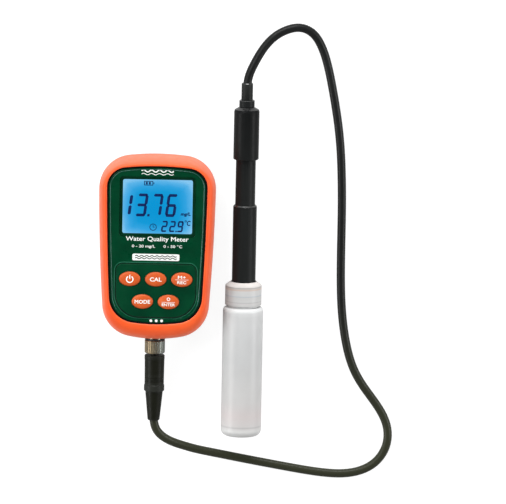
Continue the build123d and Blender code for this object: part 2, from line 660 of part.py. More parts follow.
cable_half("cable_probe_half", 1, CABLE_SPLIT)
cable_half("cable_meter_half", CABLE_SPLIT, len(CABLE_GUIDE) - 2)

# ===========================================================================
# Probe
# ===========================================================================
turned("probe_strain_relief", PROBE_PLANE, [
    (CABLE_BORE, 84.2), (3.2, 84.2), (3.2, 89.1), (3.45, 89.1), (3.45, 99.0), (3.2, 99.3),
    (CABLE_BORE, 99.3),
])

turned("gland_nut", PROBE_PLANE, [
    (3.25, 84.1), (3.25, 89.0), (4.3, 89.0), (4.6, 88.7), (4.6, 85.0), (4.35, 84.7),
    (3.9, 84.7), (3.9, 79.0), (CABLE_BORE, 79.0), (CABLE_BORE, 84.1),
])

turned("probe_head", PROBE_PLANE, [
    (6.0, 53.1), (7.2, 53.1), (HEAD_R, 53.5), (HEAD_R, 82.2), (7.2, 83.3), (5.4, 84.3),
    (5.0, 84.6), (3.95, 84.6), (3.95, 78.8), (5.0, 78.8), (5.0, 61.0), (6.0, 61.0),
])

turned("probe_stem", PROBE_PLANE, [
    (4.6, 18.2), (STEM_R, 18.2), (STEM_R, 56.3), (5.2, 56.3), (5.2, 57.5), (STEM_R, 57.5),
    (STEM_R, 60.0), (4.6, 60.0),
])

turned("head_seal", PROBE_PLANE, [(5.25, 56.4), (5.97, 56.4), (5.97, 57.4), (5.25, 57.4)])

extruded("probe_wires", discs(square(1.4), 0.4, across(PROBE_PLANE, 17.55)), 60.4)

SENSOR_POINT = (0, -30)

# Sensor sleeve; a window in its wall takes the temperature sensor.
with BuildPart() as sensor_sleeve:
    sleeve_points = [
        (5.6, -41.0), (SLEEVE_R, -41.0), (SLEEVE_R, 24.6), (6.3, 25.4), (6.0, 25.4),
        (6.0, 17.8), (5.6, 17.8),
    ]
    revolve(profile(sleeve_points, PROBE_PLANE), axis=long_axis(PROBE_PLANE))
    extrude(discs([SENSOR_POINT], 1.65, PROBE_PLANE), amount=10, mode=Mode.SUBTRACT)
save(sensor_sleeve.part, "sensor_sleeve")

extruded("temperature_sensor", discs([SENSOR_POINT], 1.6, PROBE_PLANE.offset(5.65)), 0.95)

# Core, bored at its tip for the cathode.
with BuildPart() as sensor_core:
    core_points = [
        (0, 17.5), (5.5, 17.5), (5.5, -41.0), (4.9, -41.0), (4.9, -52.0), (3.2, -52.0),
        (3.2, -63.4), (2.6, -63.9), (0, -63.9),
    ]
    revolve(profile(core_points, PROBE_PLANE), axis=long_axis(PROBE_PLANE))
    extrude(disc(1.53, across(PROBE_PLANE, -65)), amount=15, mode=Mode.SUBTRACT)
save(sensor_core.part, "sensor_core")

extruded("cathode", disc(1.5, across(PROBE_PLANE, -63.88)), 13.8)
turned("anode", PROBE_PLANE, [(3.25, -61.0), (4.2, -61.0), (4.2, -54.0), (3.25, -54.0)])

# Membrane cap, filled with electrolyte in use and screwed onto the core.
turned("membrane_cap", PROBE_PLANE, [
    (2.4, -66.0), (6.0, -66.0), (SLEEVE_R, -65.1), (SLEEVE_R, -41.3), (5.8, -41.3),
    (5.8, -42.7), (5.0, -42.7), (5.0, -64.2), (2.4, -64.2),
])

extruded("membrane", disc(4.2, across(PROBE_PLANE, -64.16)), 0.12)
turned("membrane_retainer", PROBE_PLANE,
       [(3.4, -64.0), (4.9, -64.0), (4.9, -62.8), (3.4, -62.8)])
turned("membrane_cap_seal", PROBE_PLANE,
       [(4.96, -42.6), (5.7, -42.6), (5.7, -41.4), (4.96, -41.4)])

# ===========================================================================
# Storage bottle
# ===========================================================================
BOTTLE_BORE = BOTTLE_R - 1.2
BOTTLE_Y0, BOTTLE_Y1 = -115.3, -36.4
BOTTLE_FLOOR = -109.5
NECK_R, NECK_BORE, NECK_Y = 9.3, 7.9, -27.5
CAP_R, CAP_Y0, CAP_Y1 = 10.95, -35.2, -23.4
CAP_BORE, CAP_TOP = 7.45, -20.9     # the top slopes up to the probe's hole
CAP_INNER_R, CAP_INNER_Y = 10.1, -25.4

with BuildPart() as bottle:
    with BuildSketch(PROBE_PLANE) as half:
        with BuildLine():
            Polyline(
                (0, BOTTLE_Y0), (BOTTLE_R, BOTTLE_Y0), (BOTTLE_R, BOTTLE_Y1),
                (NECK_R, BOTTLE_Y1), (NECK_R, NECK_Y), (NECK_BORE, NECK_Y),
                (NECK_BORE, BOTTLE_Y1 - 1.2), (BOTTLE_BORE, BOTTLE_Y1 - 1.4),
                (BOTTLE_BORE, BOTTLE_FLOOR), (0, BOTTLE_FLOOR), close=True,
            )
        make_face()
        fillet(vertices().sort_by_distance((BOTTLE_R, BOTTLE_Y0))[0:1], radius=3.8)
        fillet(vertices().sort_by_distance((BOTTLE_R, BOTTLE_Y1))[0:1], radius=2.6)
        fillet(vertices().sort_by_distance((BOTTLE_BORE, BOTTLE_FLOOR))[0:1], radius=2.0)
    revolve(half.sketch, axis=long_axis(PROBE_PLANE))
    # raised thread crests on the neck
    with BuildSketch(PROBE_PLANE) as crests:
        with Locations(*[(NECK_R - 0.1, y) for y in (-34.2, -31.6, -29.0)]):
            Circle(0.65)
    revolve(crests.sketch, axis=long_axis(PROBE_PLANE))
save(bottle.part, "bottle")

with BuildPart() as bottle_cap:
    with BuildSketch(PROBE_PLANE) as half:
        with BuildLine():
            Polyline(
                (CAP_BORE, CAP_TOP), (CAP_R, CAP_Y1), (CAP_R, CAP_Y0), (CAP_INNER_R, CAP_Y0),
                (CAP_INNER_R, CAP_INNER_Y), (CAP_BORE, CAP_INNER_Y), close=True,
            )
        make_face()
        fillet(vertices().sort_by_distance((CAP_R, CAP_Y1))[0:1], radius=0.6)
        fillet(vertices().sort_by_distance((CAP_BORE, CAP_TOP))[0:1], radius=0.3)
    revolve(half.sketch, axis=long_axis(PROBE_PLANE))
save(bottle_cap.part, "bottle_cap")

# Sealing ring between the cap, the neck and the probe's sleeve.
SEAL_BORE = SLEEVE_R + 0.07
turned("bottle_cap_seal", PROBE_PLANE,
       [(SEAL_BORE, -27.4), (9.9, -27.4), (9.9, -25.5), (SEAL_BORE, -25.5)])
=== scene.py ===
import math
import random

import bpy
import bmesh
from mathutils import Matrix, Vector


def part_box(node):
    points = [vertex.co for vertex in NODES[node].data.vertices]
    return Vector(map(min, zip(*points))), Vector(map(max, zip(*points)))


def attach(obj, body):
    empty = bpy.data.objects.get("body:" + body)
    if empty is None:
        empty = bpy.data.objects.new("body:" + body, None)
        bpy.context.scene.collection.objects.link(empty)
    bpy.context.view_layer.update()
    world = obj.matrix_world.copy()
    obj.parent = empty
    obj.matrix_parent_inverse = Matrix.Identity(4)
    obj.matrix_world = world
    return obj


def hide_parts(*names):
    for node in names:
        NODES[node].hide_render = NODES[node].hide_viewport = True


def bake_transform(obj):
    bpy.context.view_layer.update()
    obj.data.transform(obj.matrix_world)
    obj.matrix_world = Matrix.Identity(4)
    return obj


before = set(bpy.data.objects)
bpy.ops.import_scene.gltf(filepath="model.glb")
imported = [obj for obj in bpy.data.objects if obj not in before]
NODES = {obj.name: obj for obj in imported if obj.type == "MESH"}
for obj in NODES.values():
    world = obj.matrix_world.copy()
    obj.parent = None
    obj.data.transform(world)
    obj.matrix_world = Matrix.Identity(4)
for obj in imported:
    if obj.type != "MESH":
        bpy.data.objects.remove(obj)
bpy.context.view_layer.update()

random.seed(7)
MM = 0.001

# Places, read from the frame.
_lens_lo, _lens_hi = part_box("display_lens")
MX = (_lens_lo.x + _lens_hi.x) / 2 - 0.3 * MM
MY = (_lens_lo.y + _lens_hi.y) / 2 - 26.05 * MM
_bot_lo, _bot_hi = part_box("bottle")
PX, PZ = (_bot_lo.x + _bot_hi.x) / 2, (_bot_lo.z + _bot_hi.z) / 2
_bar_lo, _bar_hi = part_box("coupling_nut")
PLUG_Z = (_bar_lo.z + _bar_hi.z) / 2


def at(x, y, z):
    """A point given in mm from the meter's centre, in the row frame."""
    return Vector((MX + x * MM, MY + y * MM, z * MM))


# ---------------------------------------------------------------------------
# Materials
# ---------------------------------------------------------------------------
def lin(r, g, b):
    """8-bit display colour to linear."""
    out = []
    for v in (r, g, b):
        v = v / 255
        out.append(v / 12.92 if v <= 0.04045 else ((v + 0.055) / 1.055) ** 2.4)
    return tuple(out)


class Mat:
    """Small node-tree builder around one Principled shader."""

    def __init__(self, name):
        self.m = bpy.data.materials.new(name)
        self.m.use_nodes = True
        self.nt = self.m.node_tree
        self.nt.nodes.clear()
        self.out = self.nt.nodes.new("ShaderNodeOutputMaterial")
        self.p = self.nt.nodes.new("ShaderNodeBsdfPrincipled")
        self.link(self.p.outputs[0], self.out.inputs["Surface"])
        self.tc = self.nt.nodes.new("ShaderNodeTexCoord")

    def link(self, a, b):
        self.nt.links.new(a, b)

    def new(self, kind, **props):
        n = self.nt.nodes.new(kind)
        for k, v in props.items():
            setattr(n, k, v)
        return n

    def set(self, **vals):
        for k, v in vals.items():
            s = self.p.inputs[k.replace("_", " ")]
            if isinstance(v, tuple) and len(v) == 3:
                v = (*v, 1.0)
            s.default_value = v
        return self

    def coords(self, scale=(1, 1, 1)):
        mp = self.new("ShaderNodeMapping")
        mp.inputs["Scale"].default_value = scale
        self.link(self.tc.outputs["Object"], mp.inputs["Vector"])
        return mp.outputs[0]

    def noise(self, scale, detail=4.0, rough=0.55, stretch=(1, 1, 1), distortion=0.0):
        n = self.new("ShaderNodeTexNoise")
        n.inputs["Scale"].default_value = scale
        n.inputs["Detail"].default_value = detail
        n.inputs["Roughness"].default_value = rough
        n.inputs["Distortion"].default_value = distortion
        self.link(self.coords(stretch), n.inputs["Vector"])
        return n.outputs["Fac"]

    def ramp(self, fac, stops):
        r = self.new("ShaderNodeValToRGB")
        el = r.color_ramp.elements
        while len(el) > 1:
            el.remove(el[-1])
        el[0].position, el[0].color = stops[0][0], (*stops[0][1], 1)
        for pos, col in stops[1:]:
            e = el.new(pos)
            e.color = (*col, 1)
        self.link(fac, r.inputs[0])
        return r.outputs[0]

    def rng(self, fac, a, b, lo=0.3, hi=0.7):
        r = self.new("ShaderNodeMapRange")
        r.inputs["From Min"].default_value = lo
        r.inputs["From Max"].default_value = hi
        r.inputs["To Min"].default_value = a
        r.inputs["To Max"].default_value = b
        self.link(fac, r.inputs["Value"])
        return r.outputs[0]

    def mix(self, fac, a, b, blend="MIX"):
        m = self.new("ShaderNodeMix", data_type="RGBA", blend_type=blend)
        for sock, v in ((m.inputs[0], fac), (m.inputs[6], a), (m.inputs[7], b)):
            if isinstance(v, (int, float)):
                sock.default_value = v
            elif isinstance(v, tuple):
                sock.default_value = (*v, 1.0)
            else:
                self.link(v, sock)
        return m.outputs[2]

    def math(self, op, a, b=0.0, clamp=False):
        m = self.new("ShaderNodeMath", operation=op, use_clamp=clamp)
        for i, v in enumerate((a, b)):
            if isinstance(v, (int, float)):
                m.inputs[i].default_value = v
            else:
                self.link(v, m.inputs[i])
        return m.outputs[0]

    def bump(self, *layers):
        """layers: (height socket, strength, distance in mm)."""
        last = None
        for h, s, d in layers:
            b = self.new("ShaderNodeBump")
            b.inputs["Strength"].default_value = s
            b.inputs["Distance"].default_value = d * MM
            self.link(h, b.inputs["Height"])
            if last is not None:
                self.link(last, b.inputs["Normal"])
            last = b.outputs[0]
        self.link(last, self.p.inputs["Normal"])

    def indirect(self):
        """1 for light that has bounced diffusely, so a strong colour doesn't stain its surroundings."""
        return self.new("ShaderNodeLightPath").outputs["Is Diffuse Ray"]

    def edge(self, lo=0.5, hi=0.62):
        """1 on worn convex edges."""
        g = self.new("ShaderNodeNewGeometry")
        return self.rng(g.outputs["Pointiness"], 0.0, 1.0, lo, hi)

    def color(self, sock):
        self.link(sock, self.p.inputs["Base Color"])

    def rough(self, sock):
        self.link(sock, self.p.inputs["Roughness"])


def varied(name, base, dark, light, rough, bump=(0.25, 0.02), grain=2600, blotch=90, stretch=(1, 1, 1), **extra):
    """A material with blotchy colour, uneven gloss and a fine surface grain."""
    m = Mat(name)
    m.set(**extra)
    big = m.noise(blotch, 3)
    fine = m.noise(grain, 5, 0.6, stretch)
    m.color(m.mix(m.rng(fine, 0.0, 0.35), m.ramp(big, [(0.3, dark), (0.5, base), (0.72, light)]), light))
    m.rough(m.rng(m.noise(blotch * 5, 5), rough[0], rough[1]))
    m.bump((fine, bump[0], bump[1]), (m.noise(blotch * 3, 2), 0.15, 0.05))
    return m.m


def make_boot():
    m = Mat("boot_rubber")
    m.set(Specular_IOR_Level=0.3, Sheen_Weight=0.06, Sheen_Roughness=0.5, Subsurface_Weight=0.04)
    m.p.inputs["Subsurface Radius"].default_value = (0.002, 0.0007, 0.0004)
    m.p.inputs["Sheen Tint"].default_value = (1.0, 0.75, 0.62, 1)
    big = m.noise(45, 3)
    fine = m.noise(3800, 4, 0.6)
    base = m.ramp(big, [(0.3, lin(240, 84, 30)), (0.5, lin(244, 90, 36)), (0.7, lin(247, 97, 43))])
    scuff = m.rng(m.noise(420, 6, 0.7, (1, 0.35, 1), 0.6), 0.0, 1.0, 0.66, 0.8)
    base = m.mix(m.math("MULTIPLY", scuff, 0.16), base, lin(250, 150, 115))
    base = m.mix(m.math("MULTIPLY", m.edge(0.52, 0.6), 0.25), base, lin(250, 125, 80))
    # painted highlight: paler where the moulding turns towards the upper end, which faces the key light
    geo, sep = m.new("ShaderNodeNewGeometry"), m.new("ShaderNodeSeparateXYZ")
    m.link(geo.outputs["Normal"], sep.inputs[0])
    base = m.mix(m.rng(sep.outputs["Y"], 0.0, 0.14, 0.5, 0.9), base, lin(255, 172, 152))
    # painted sheen: pale pink mixed in where the surface turns edge-on to the view
    edge_sheen_weight = m.new("ShaderNodeLayerWeight")
    edge_sheen_weight.inputs["Blend"].default_value = 0.5
    base = m.mix(m.rng(edge_sheen_weight.outputs["Facing"], 0.0, 0.17, 0.42, 0.9), base, lin(255, 186, 166))
    m.color(m.mix(m.indirect(), base, lin(120, 96, 88)))
    m.rough(m.rng(m.noise(260, 5), 0.4, 0.56))
    m.bump((fine, 0.2, 0.02), (m.noise(700, 3), 0.12, 0.05))
    return m.m


def make_green(name="case_green", dark=(0, 50, 29), mid=(0, 58, 34), light=(3, 66, 39), rough=(0.26, 0.4)):
    m = Mat(name)
    m.set(Specular_IOR_Level=0.12, Coat_Weight=0.0)
    big = m.noise(60, 3)
    fine = m.noise(5200, 4, 0.6)
    base = m.ramp(big, [(0.3, lin(*dark)), (0.5, lin(*mid)), (0.7, lin(*light))])
    scratch = m.rng(m.noise(900, 3, 0.5, (1, 0.06, 1), 1.2), 0.0, 1.0, 0.7, 0.76)
    m.color(m.mix(m.math("MULTIPLY", scratch, 0.05), base, lin(60, 110, 84)))
    m.rough(m.rng(m.noise(320, 5), *rough))
    m.bump((fine, 0.22, 0.015), (scratch, 0.04, 0.01))
    return m.m


def make_key():
    m = Mat("key_orange")
    m.set(Specular_IOR_Level=0.25)
    fine = m.noise(4200, 4)
    base = m.ramp(m.noise(160, 3), [(0.3, lin(200, 84, 34)), (0.55, lin(208, 92, 41)), (0.75, lin(217, 102, 50))])
    m.color(m.mix(m.math("MULTIPLY", m.edge(0.52, 0.6), 0.3), base, lin(255, 140, 92)))
    m.rough(m.rng(m.noise(500, 4), 0.34, 0.5))
    m.bump((fine, 0.2, 0.015))
    return m.m


def make_black(name, base=(24, 26, 26), light=(44, 47, 46), rough=(0.32, 0.5), grain=3000, stretch=(1, 1, 1), bump=0.3, wear=0.2, spec=0.5, polish=False, pale_end=None):
    m = Mat(name)
    m.set(Specular_IOR_Level=spec)
    fine = m.noise(grain, 5, 0.6, stretch)
    b = m.ramp(m.noise(70, 3), [(0.3, lin(*[v * 0.85 for v in base])), (0.55, lin(*base)), (0.8, lin(*[v * 1.2 for v in base]))])
    b = m.mix(m.rng(fine, 0.0, 0.35, 0.45, 0.8), b, lin(*light))
    if pale_end:
        # greyer and slightly olive where the cable nears the meter's plug
        cs = m.new("ShaderNodeSeparateXYZ")
        m.link(m.tc.outputs["Object"], cs.inputs[0])
        b = m.mix(m.rng(cs.outputs["Y"], 0.0, 1.0, MY - 112 * MM, MY - 30 * MM), lin(*pale_end), b)
    m.color(m.mix(m.math("MULTIPLY", m.edge(0.52, 0.6), wear), b, lin(96, 100, 98)))
    # shoulders turned to the upper end are polished by handling and catch the light
    geo, sn = m.new("ShaderNodeNewGeometry"), m.new("ShaderNodeSeparateXYZ")
    m.link(geo.outputs["Normal"], sn.inputs[0])
    worn = m.rng(sn.outputs["Y"], 0.0, 1.0 if polish else 0.0, 0.38, 0.56)
    m.rough(m.math("SUBTRACT", m.rng(m.noise(380, 5), *rough), m.math("MULTIPLY", worn, rough[0] - 0.12)))
    m.link(m.rng(worn, spec, 1.0, 0.0, 1.0), m.p.inputs["Specular IOR Level"])
    m.bump((fine, bump, 0.03), (m.noise(260, 2), 0.1, 0.06))
    return m.m


def make_metal(name, base=(196, 192, 184), dark=(120, 112, 100), rough=(0.2, 0.38), stretch=(1, 1, 1), grain=1500):
    m = Mat(name)
    m.set(Metallic=1.0)
    fine = m.noise(grain, 5, 0.6, stretch)
    m.color(m.mix(m.rng(fine, 0.0, 0.7), m.ramp(m.noise(240, 4, 0.55, stretch), [(0.3, lin(*dark)), (0.5, lin(*base)), (0.8, lin(*[min(255, v * 1.1) for v in base]))]), lin(*base)))
    m.rough(m.rng(m.noise(700, 5), *rough))
    m.bump((fine, 0.25, 0.02))
    return m.m


def make_nut():
    """Nickel-plated knurling: fine streaks along the axis, with a painted reflection that is warm on the left flank and
    cool on the right.
    """
    m = Mat("nut_nickel")
    m.set(Metallic=1.0)
    geo, sn = m.new("ShaderNodeNewGeometry"), m.new("ShaderNodeSeparateXYZ")
    m.link(geo.outputs["Normal"], sn.inputs[0])
    # painted reflection: the colour follows which way the surface faces, warm to the left and cool to the right
    side = m.rng(sn.outputs["X"], 0.0, 1.0, -1.0, 1.0)
    painted_reflection_tone = m.ramp(side, [(0.0, lin(150, 140, 120)), (0.15, lin(137, 122, 101)), (0.32, lin(160, 145, 116)), (0.5, lin(176, 164, 136)), (0.62, lin(142, 139, 126)), (0.75, lin(124, 130, 126)), (0.88, lin(152, 160, 158)), (1.0, lin(170, 180, 178))])
    streak = m.noise(300, 3, 0.5, (3.0, 0.05, 3.0))
    m.color(m.mix(m.rng(streak, 0.0, 0.45), painted_reflection_tone, lin(74, 68, 56)))
    m.rough(m.rng(m.noise(260, 3, 0.5, (3.0, 0.1, 3.0)), 0.36, 0.48))
    m.bump((streak, 0.2, 0.01))
    return m.m


def make_bottle():
    """Milky polypropylene: a painted highlight as a brighter band at the shoulder, brighter near the base, faint inner
    floor line.
    """
    m = Mat("bottle_white")
    m.set(Specular_IOR_Level=0.4, Subsurface_Weight=0.22)
    m.p.inputs["Subsurface Radius"].default_value = (0.004, 0.004, 0.004)
    sep = m.new("ShaderNodeSeparateXYZ")
    m.link(m.tc.outputs["Object"], sep.inputs[0])
    # station along the bottle, 0 at the base and 1 at the top of the neck
    s = m.rng(sep.outputs["Y"], 0.0, 1.0, MY - 115.3 * MM, MY - 27.5 * MM)
    # painted highlight: the bright band at the shoulder; the base is brighter too, and the dark stop marks the inner
    # floor line
    body = m.ramp(s, [(0.0, lin(208, 208, 207)), (0.045, lin(218, 218, 217)), (0.064, lin(208, 206, 205)), (0.07, lin(190, 188, 188)), (0.08, lin(208, 205, 204)), (0.15, lin(208, 201, 200)), (0.25, lin(204, 203, 202)), (0.55, lin(200, 201, 201)), (0.84, lin(207, 208, 208)), (0.875, lin(218, 219, 219)), (0.9, lin(226, 227, 227)), (1.0, lin(212, 212, 211))])
    blot = m.rng(m.noise(75, 3), 0.975, 1.02)
    c = m.new("ShaderNodeVectorMath", operation="SCALE")
    m.link(body, c.inputs[0])
    m.link(blot, c.inputs["Scale"])
    speck = m.rng(m.noise(520, 2), 0.0, 1.0, 0.74, 0.8)
    m.color(m.mix(m.math("MULTIPLY", speck, 0.12), c.outputs[0], lin(150, 150, 150)))
    m.rough(m.rng(m.noise(240, 5), 0.28, 0.46))
    flow = m.noise(90, 3, 0.5, (1, 0.15, 1))
    m.bump((m.noise(2600, 4), 0.1, 0.02), (flow, 0.12, 0.12))
    # a slight see-through, so the dark tip can be made out
    tr = m.new("ShaderNodeBsdfTransparent")
    mixs = m.new("ShaderNodeMixShader")
    mixs.inputs[0].default_value = 0.06
    m.link(m.p.outputs[0], mixs.inputs[1])
    m.link(tr.outputs[0], mixs.inputs[2])
    m.link(mixs.outputs[0], m.out.inputs["Surface"])
    return m.m


def make_cap():
    """White screw cap, with its thread showing faintly through the wall and a painted shadow below the rim."""
    m = Mat("cap_white")
    m.set(Specular_IOR_Level=0.42, Subsurface_Weight=0.2)
    m.p.inputs["Subsurface Radius"].default_value = (0.003, 0.003, 0.003)
    sep = m.new("ShaderNodeSeparateXYZ")
    m.link(m.tc.outputs["Object"], sep.inputs[0])
    s = m.rng(sep.outputs["Y"], 0.0, 1.0, MY - 35.2 * MM, MY - 20.9 * MM)
    # painted shadow: the pinkish band and the grey band just below the rim stand for the shade under the rim's lip;
    # lighter near the rim
    body = m.ramp(s, [(0.0, lin(200, 199, 198)), (0.1, lin(208, 207, 206)), (0.14, lin(206, 204, 203)), (0.165, lin(188, 188, 188)), (0.2, lin(208, 208, 207)), (0.39, lin(206, 206, 205)), (0.42, lin(188, 196, 202)), (0.46, lin(210, 211, 211)), (0.66, lin(212, 211, 210)), (0.7, lin(212, 192, 178)), (0.74, lin(210, 202, 196)), (0.79, lin(184, 180, 177)), (0.83, lin(212, 208, 205)), (0.9, lin(228, 222, 218)), (1.0, lin(222, 216, 213))])
    blot = m.rng(m.noise(110, 3), 0.87, 0.92)
    c = m.new("ShaderNodeVectorMath", operation="SCALE")
    m.link(body, c.inputs[0])
    m.link(blot, c.inputs["Scale"])
    m.color(c.outputs[0])
    m.rough(m.rng(m.noise(240, 5), 0.3, 0.48))
    m.bump((m.noise(2600, 4), 0.12, 0.02))
    return m.m


def make_lens():
    """Clear window: mostly see-through with a soft reflection and faint hairlines."""
    m = Mat("lens_clear")
    m.set(Base_Color=(0.9, 0.95, 1.0), Specular_IOR_Level=0.6)
    m.rough(m.rng(m.noise(300, 5), 0.03, 0.09))
    hair = m.rng(m.noise(1400, 3, 0.5, (1, 0.03, 1), 1.0), 0.0, 1.0, 0.72, 0.77)
    m.bump((hair, 0.03, 0.01))
    gl = m.new("ShaderNodeBsdfGlossy")
    gl.inputs["Roughness"].default_value = 0.06
    fr = m.new("ShaderNodeFresnel")
    fr.inputs["IOR"].default_value = 1.38
    tr = m.new("ShaderNodeBsdfTransparent")
    tr.inputs["Color"].default_value = (0.985, 0.99, 1.0, 1)
    s = m.new("ShaderNodeMixShader")
    m.link(m.math("ADD", m.math("MULTIPLY", fr.outputs[0], 0.35), m.math("MULTIPLY", hair, 0.01), True), s.inputs[0])
    m.link(tr.outputs[0], s.inputs[1])
    m.link(gl.outputs[0], s.inputs[2])
    m.link(s.outputs[0], m.out.inputs["Surface"])
    return m.m


def make_display():
    """Backlit blue picture of the display: saturated in the middle, paler towards the edges."""
    m = Mat("display_blue")
    m.set(Base_Color=lin(3, 24, 46), Roughness=0.35, Specular_IOR_Level=0.1)
    sep = m.new("ShaderNodeSeparateXYZ")
    m.link(m.tc.outputs["Object"], sep.inputs[0])
    ux = m.rng(sep.outputs["X"], -1.0, 1.0, MX - 20.6 * MM, MX + 21.2 * MM)
    uy = m.rng(sep.outputs["Y"], -1.0, 1.0, MY + 9.6 * MM, MY + 42.5 * MM)
    ax, ay = m.math("ABSOLUTE", ux), m.math("ABSOLUTE", m.math("SUBTRACT", uy, -0.06))
    r = m.math("MAXIMUM", m.math("POWER", ax, 2.4), m.math("MULTIPLY", m.math("POWER", ay, 2.0), 0.95))
    r2 = m.math("ADD", m.math("MULTIPLY", m.math("ADD", m.math("POWER", ax, 2.0), m.math("POWER", ay, 2.0)), 0.32), m.math("MULTIPLY", r, 0.52), True)
    r2 = m.math("ADD", r2, m.rng(m.noise(160, 3), -0.04, 0.04), True)
    col = m.ramp(r2, [(0.0, lin(2, 150, 210)), (0.3, lin(14, 155, 214)), (0.55, lin(50, 165, 223)), (0.8, lin(92, 182, 232)), (1.0, lin(136, 202, 241))])
    cell = m.new("ShaderNodeTexWave", wave_type="BANDS", bands_direction="Y")
    cell.inputs["Scale"].default_value = 900
    m.link(m.coords(), cell.inputs["Vector"])
    col = m.mix(m.math("MULTIPLY", cell.outputs["Fac"], 0.03), col, lin(10, 110, 200))
    m.link(col, m.p.inputs["Emission Color"])
    m.set(Emission_Strength=1.0)
    return m.m


def make_print(name, rgb, strength=0.0, rough=0.5):
    m = Mat(name)
    m.set(Specular_IOR_Level=0.3)
    fine = m.noise(5200, 3)
    c = lin(*rgb)
    m.color(m.mix(m.rng(fine, 0.0, 0.25, 0.5, 0.8), c, tuple(v * 0.82 for v in c)))
    m.rough(m.rng(m.noise(600, 3), rough - 0.08, rough + 0.1))
    if strength:
        m.link(m.ramp(m.noise(900, 2), [(0.3, c), (0.7, tuple(v * 0.9 for v in c))]), m.p.inputs["Emission Color"])
        m.set(Emission_Strength=strength)
    return m.m


def make_board():
    m = Mat("board_green")
    m.set(Specular_IOR_Level=0.5)
    br = m.new("ShaderNodeTexBrick")
    br.inputs["Scale"].default_value = 260
    br.inputs["Mortar Size"].default_value = 0.08
    br.inputs["Color1"].default_value = (*lin(10, 84, 44), 1)
    br.inputs["Color2"].default_value = (*lin(14, 96, 52), 1)
    br.inputs["Mortar"].default_value = (*lin(60, 130, 70), 1)
    m.link(m.coords(), br.inputs["Vector"])
    m.color(m.mix(m.rng(m.noise(300, 3), 0.0, 0.4), br.outputs["Color"], lin(8, 70, 38)))
    m.rough(m.rng(m.noise(500, 3), 0.3, 0.5))
    m.bump((br.outputs["Fac"], 0.2, 0.03))
    return m.m


def make_cells():
    """Cell jacket: dark with a copper band at one end."""
    m = Mat("cell_body")
    m.set(Metallic=0.55, Specular_IOR_Level=0.5)
    sep = m.new("ShaderNodeSeparateXYZ")
    m.link(m.tc.outputs["Object"], sep.inputs[0])
    s = m.rng(sep.outputs["X"], 0.0, 1.0, MX - 22.3 * MM, MX + 22.3 * MM)
    m.color(m.mix(m.rng(m.noise(500, 4), 0.0, 0.4), m.ramp(s, [(0.0, lin(150, 150, 148)), (0.03, lin(28, 30, 34)), (0.66, lin(32, 34, 38)), (0.7, lin(178, 110, 52)), (0.96, lin(186, 118, 58)), (1.0, lin(160, 160, 158))]), lin(60, 58, 56)))
    m.rough(m.rng(m.noise(700, 4), 0.25, 0.4))
    m.bump((m.noise(2600, 3), 0.15, 0.02))
    return m.m


BOOT = make_boot()
GREEN = make_green()
PADGREEN = make_green("pad_green", (0, 48, 28), (0, 56, 33), (3, 64, 38), (0.3, 0.44))
KEY = make_key()
PROBE = make_black("probe_black", (11, 12, 13), (22, 24, 24), (0.3, 0.44), 2600, (1, 0.3, 1), 0.22, 0.1, 0.075, True)
GRIP = make_black("plug_black", (22, 23, 16), (38, 40, 30), (0.34, 0.5), 3200, (1, 1, 1), 0.4, 0.15, 0.12)
RELIEF = make_black("relief_black", (14, 15, 14), (28, 30, 28), (0.36, 0.5), 3000, (1, 1, 1), 0.3, 0.15, 0.1, True)
CABLE = make_black("cable_black", (24, 25, 25), (50, 52, 49), (0.28, 0.42), 1900, (1, 1, 1), 0.35, 0.0, 0.16, False, (50, 52, 39))
SEAL = make_black("seal_rubber", (18, 18, 18), (34, 34, 34), (0.5, 0.66), 2600, (1, 1, 1), 0.3, 0.1)
INSUL = make_black("insulator_black", (22, 22, 23), (36, 36, 37), (0.4, 0.55))
CHIP = make_black("chip_black", (24, 24, 26), (40, 40, 42), (0.35, 0.5))
NUT = make_nut()
SHELL = make_metal("shell_dark", (58, 58, 54), (28, 28, 25), (0.34, 0.5))
NICKEL = make_metal("connector_nickel", (166, 160, 144), (58, 50, 38), (0.22, 0.36), (3.0, 0.1, 3.0), 300)
STEEL = make_metal("screw_steel", (178, 178, 178), (118, 116, 114), (0.26, 0.44))
GOLD = make_metal("pin_gold", (226, 184, 96), (170, 128, 60), (0.2, 0.34))
SILVER = make_metal("silver", (206, 204, 198), (150, 146, 140), (0.22, 0.36))
PLAT = make_metal("platinum", (192, 190, 186), (140, 138, 134), (0.16, 0.3))
BOTTLE = make_bottle()
CAP = make_cap()
LENS = make_lens()
DISPLAY = make_display()
BOARD = make_board()
CELLS = make_cells()
WHITE_RING = varied("seal_white", lin(206, 204, 202), lin(190, 188, 186), lin(220, 218, 216), (0.4, 0.6))
DIFFUSER = varied("white_diffuser", lin(226, 228, 232), lin(212, 214, 218), lin(236, 238, 240), (0.4, 0.6))
SILICONE = varied("silicone_grey", lin(138, 138, 140), lin(120, 120, 122), lin(154, 154, 156), (0.5, 0.66))
CORE = varied("core_white", lin(214, 212, 204), lin(196, 194, 186), lin(226, 224, 216), (0.36, 0.52))
WIRES = varied("wire_red", lin(150, 40, 36), lin(122, 30, 28), lin(178, 60, 52), (0.36, 0.5))
FILM = varied("membrane_film", lin(206, 210, 212), lin(190, 196, 198), lin(222, 224, 226), (0.12, 0.26))
LCDGLASS = varied("lcd_glass", lin(70, 120, 150), lin(60, 108, 138), lin(84, 134, 164), (0.08, 0.2))
WHITE = make_print("print_white", (246, 247, 244), 0.0, 0.45)
NAVY = make_print("segment_navy", (8, 40, 98), 0.0, 0.4)
BADGE_DARK = make_print("print_dark", (18, 34, 30), 0.0, 0.45)

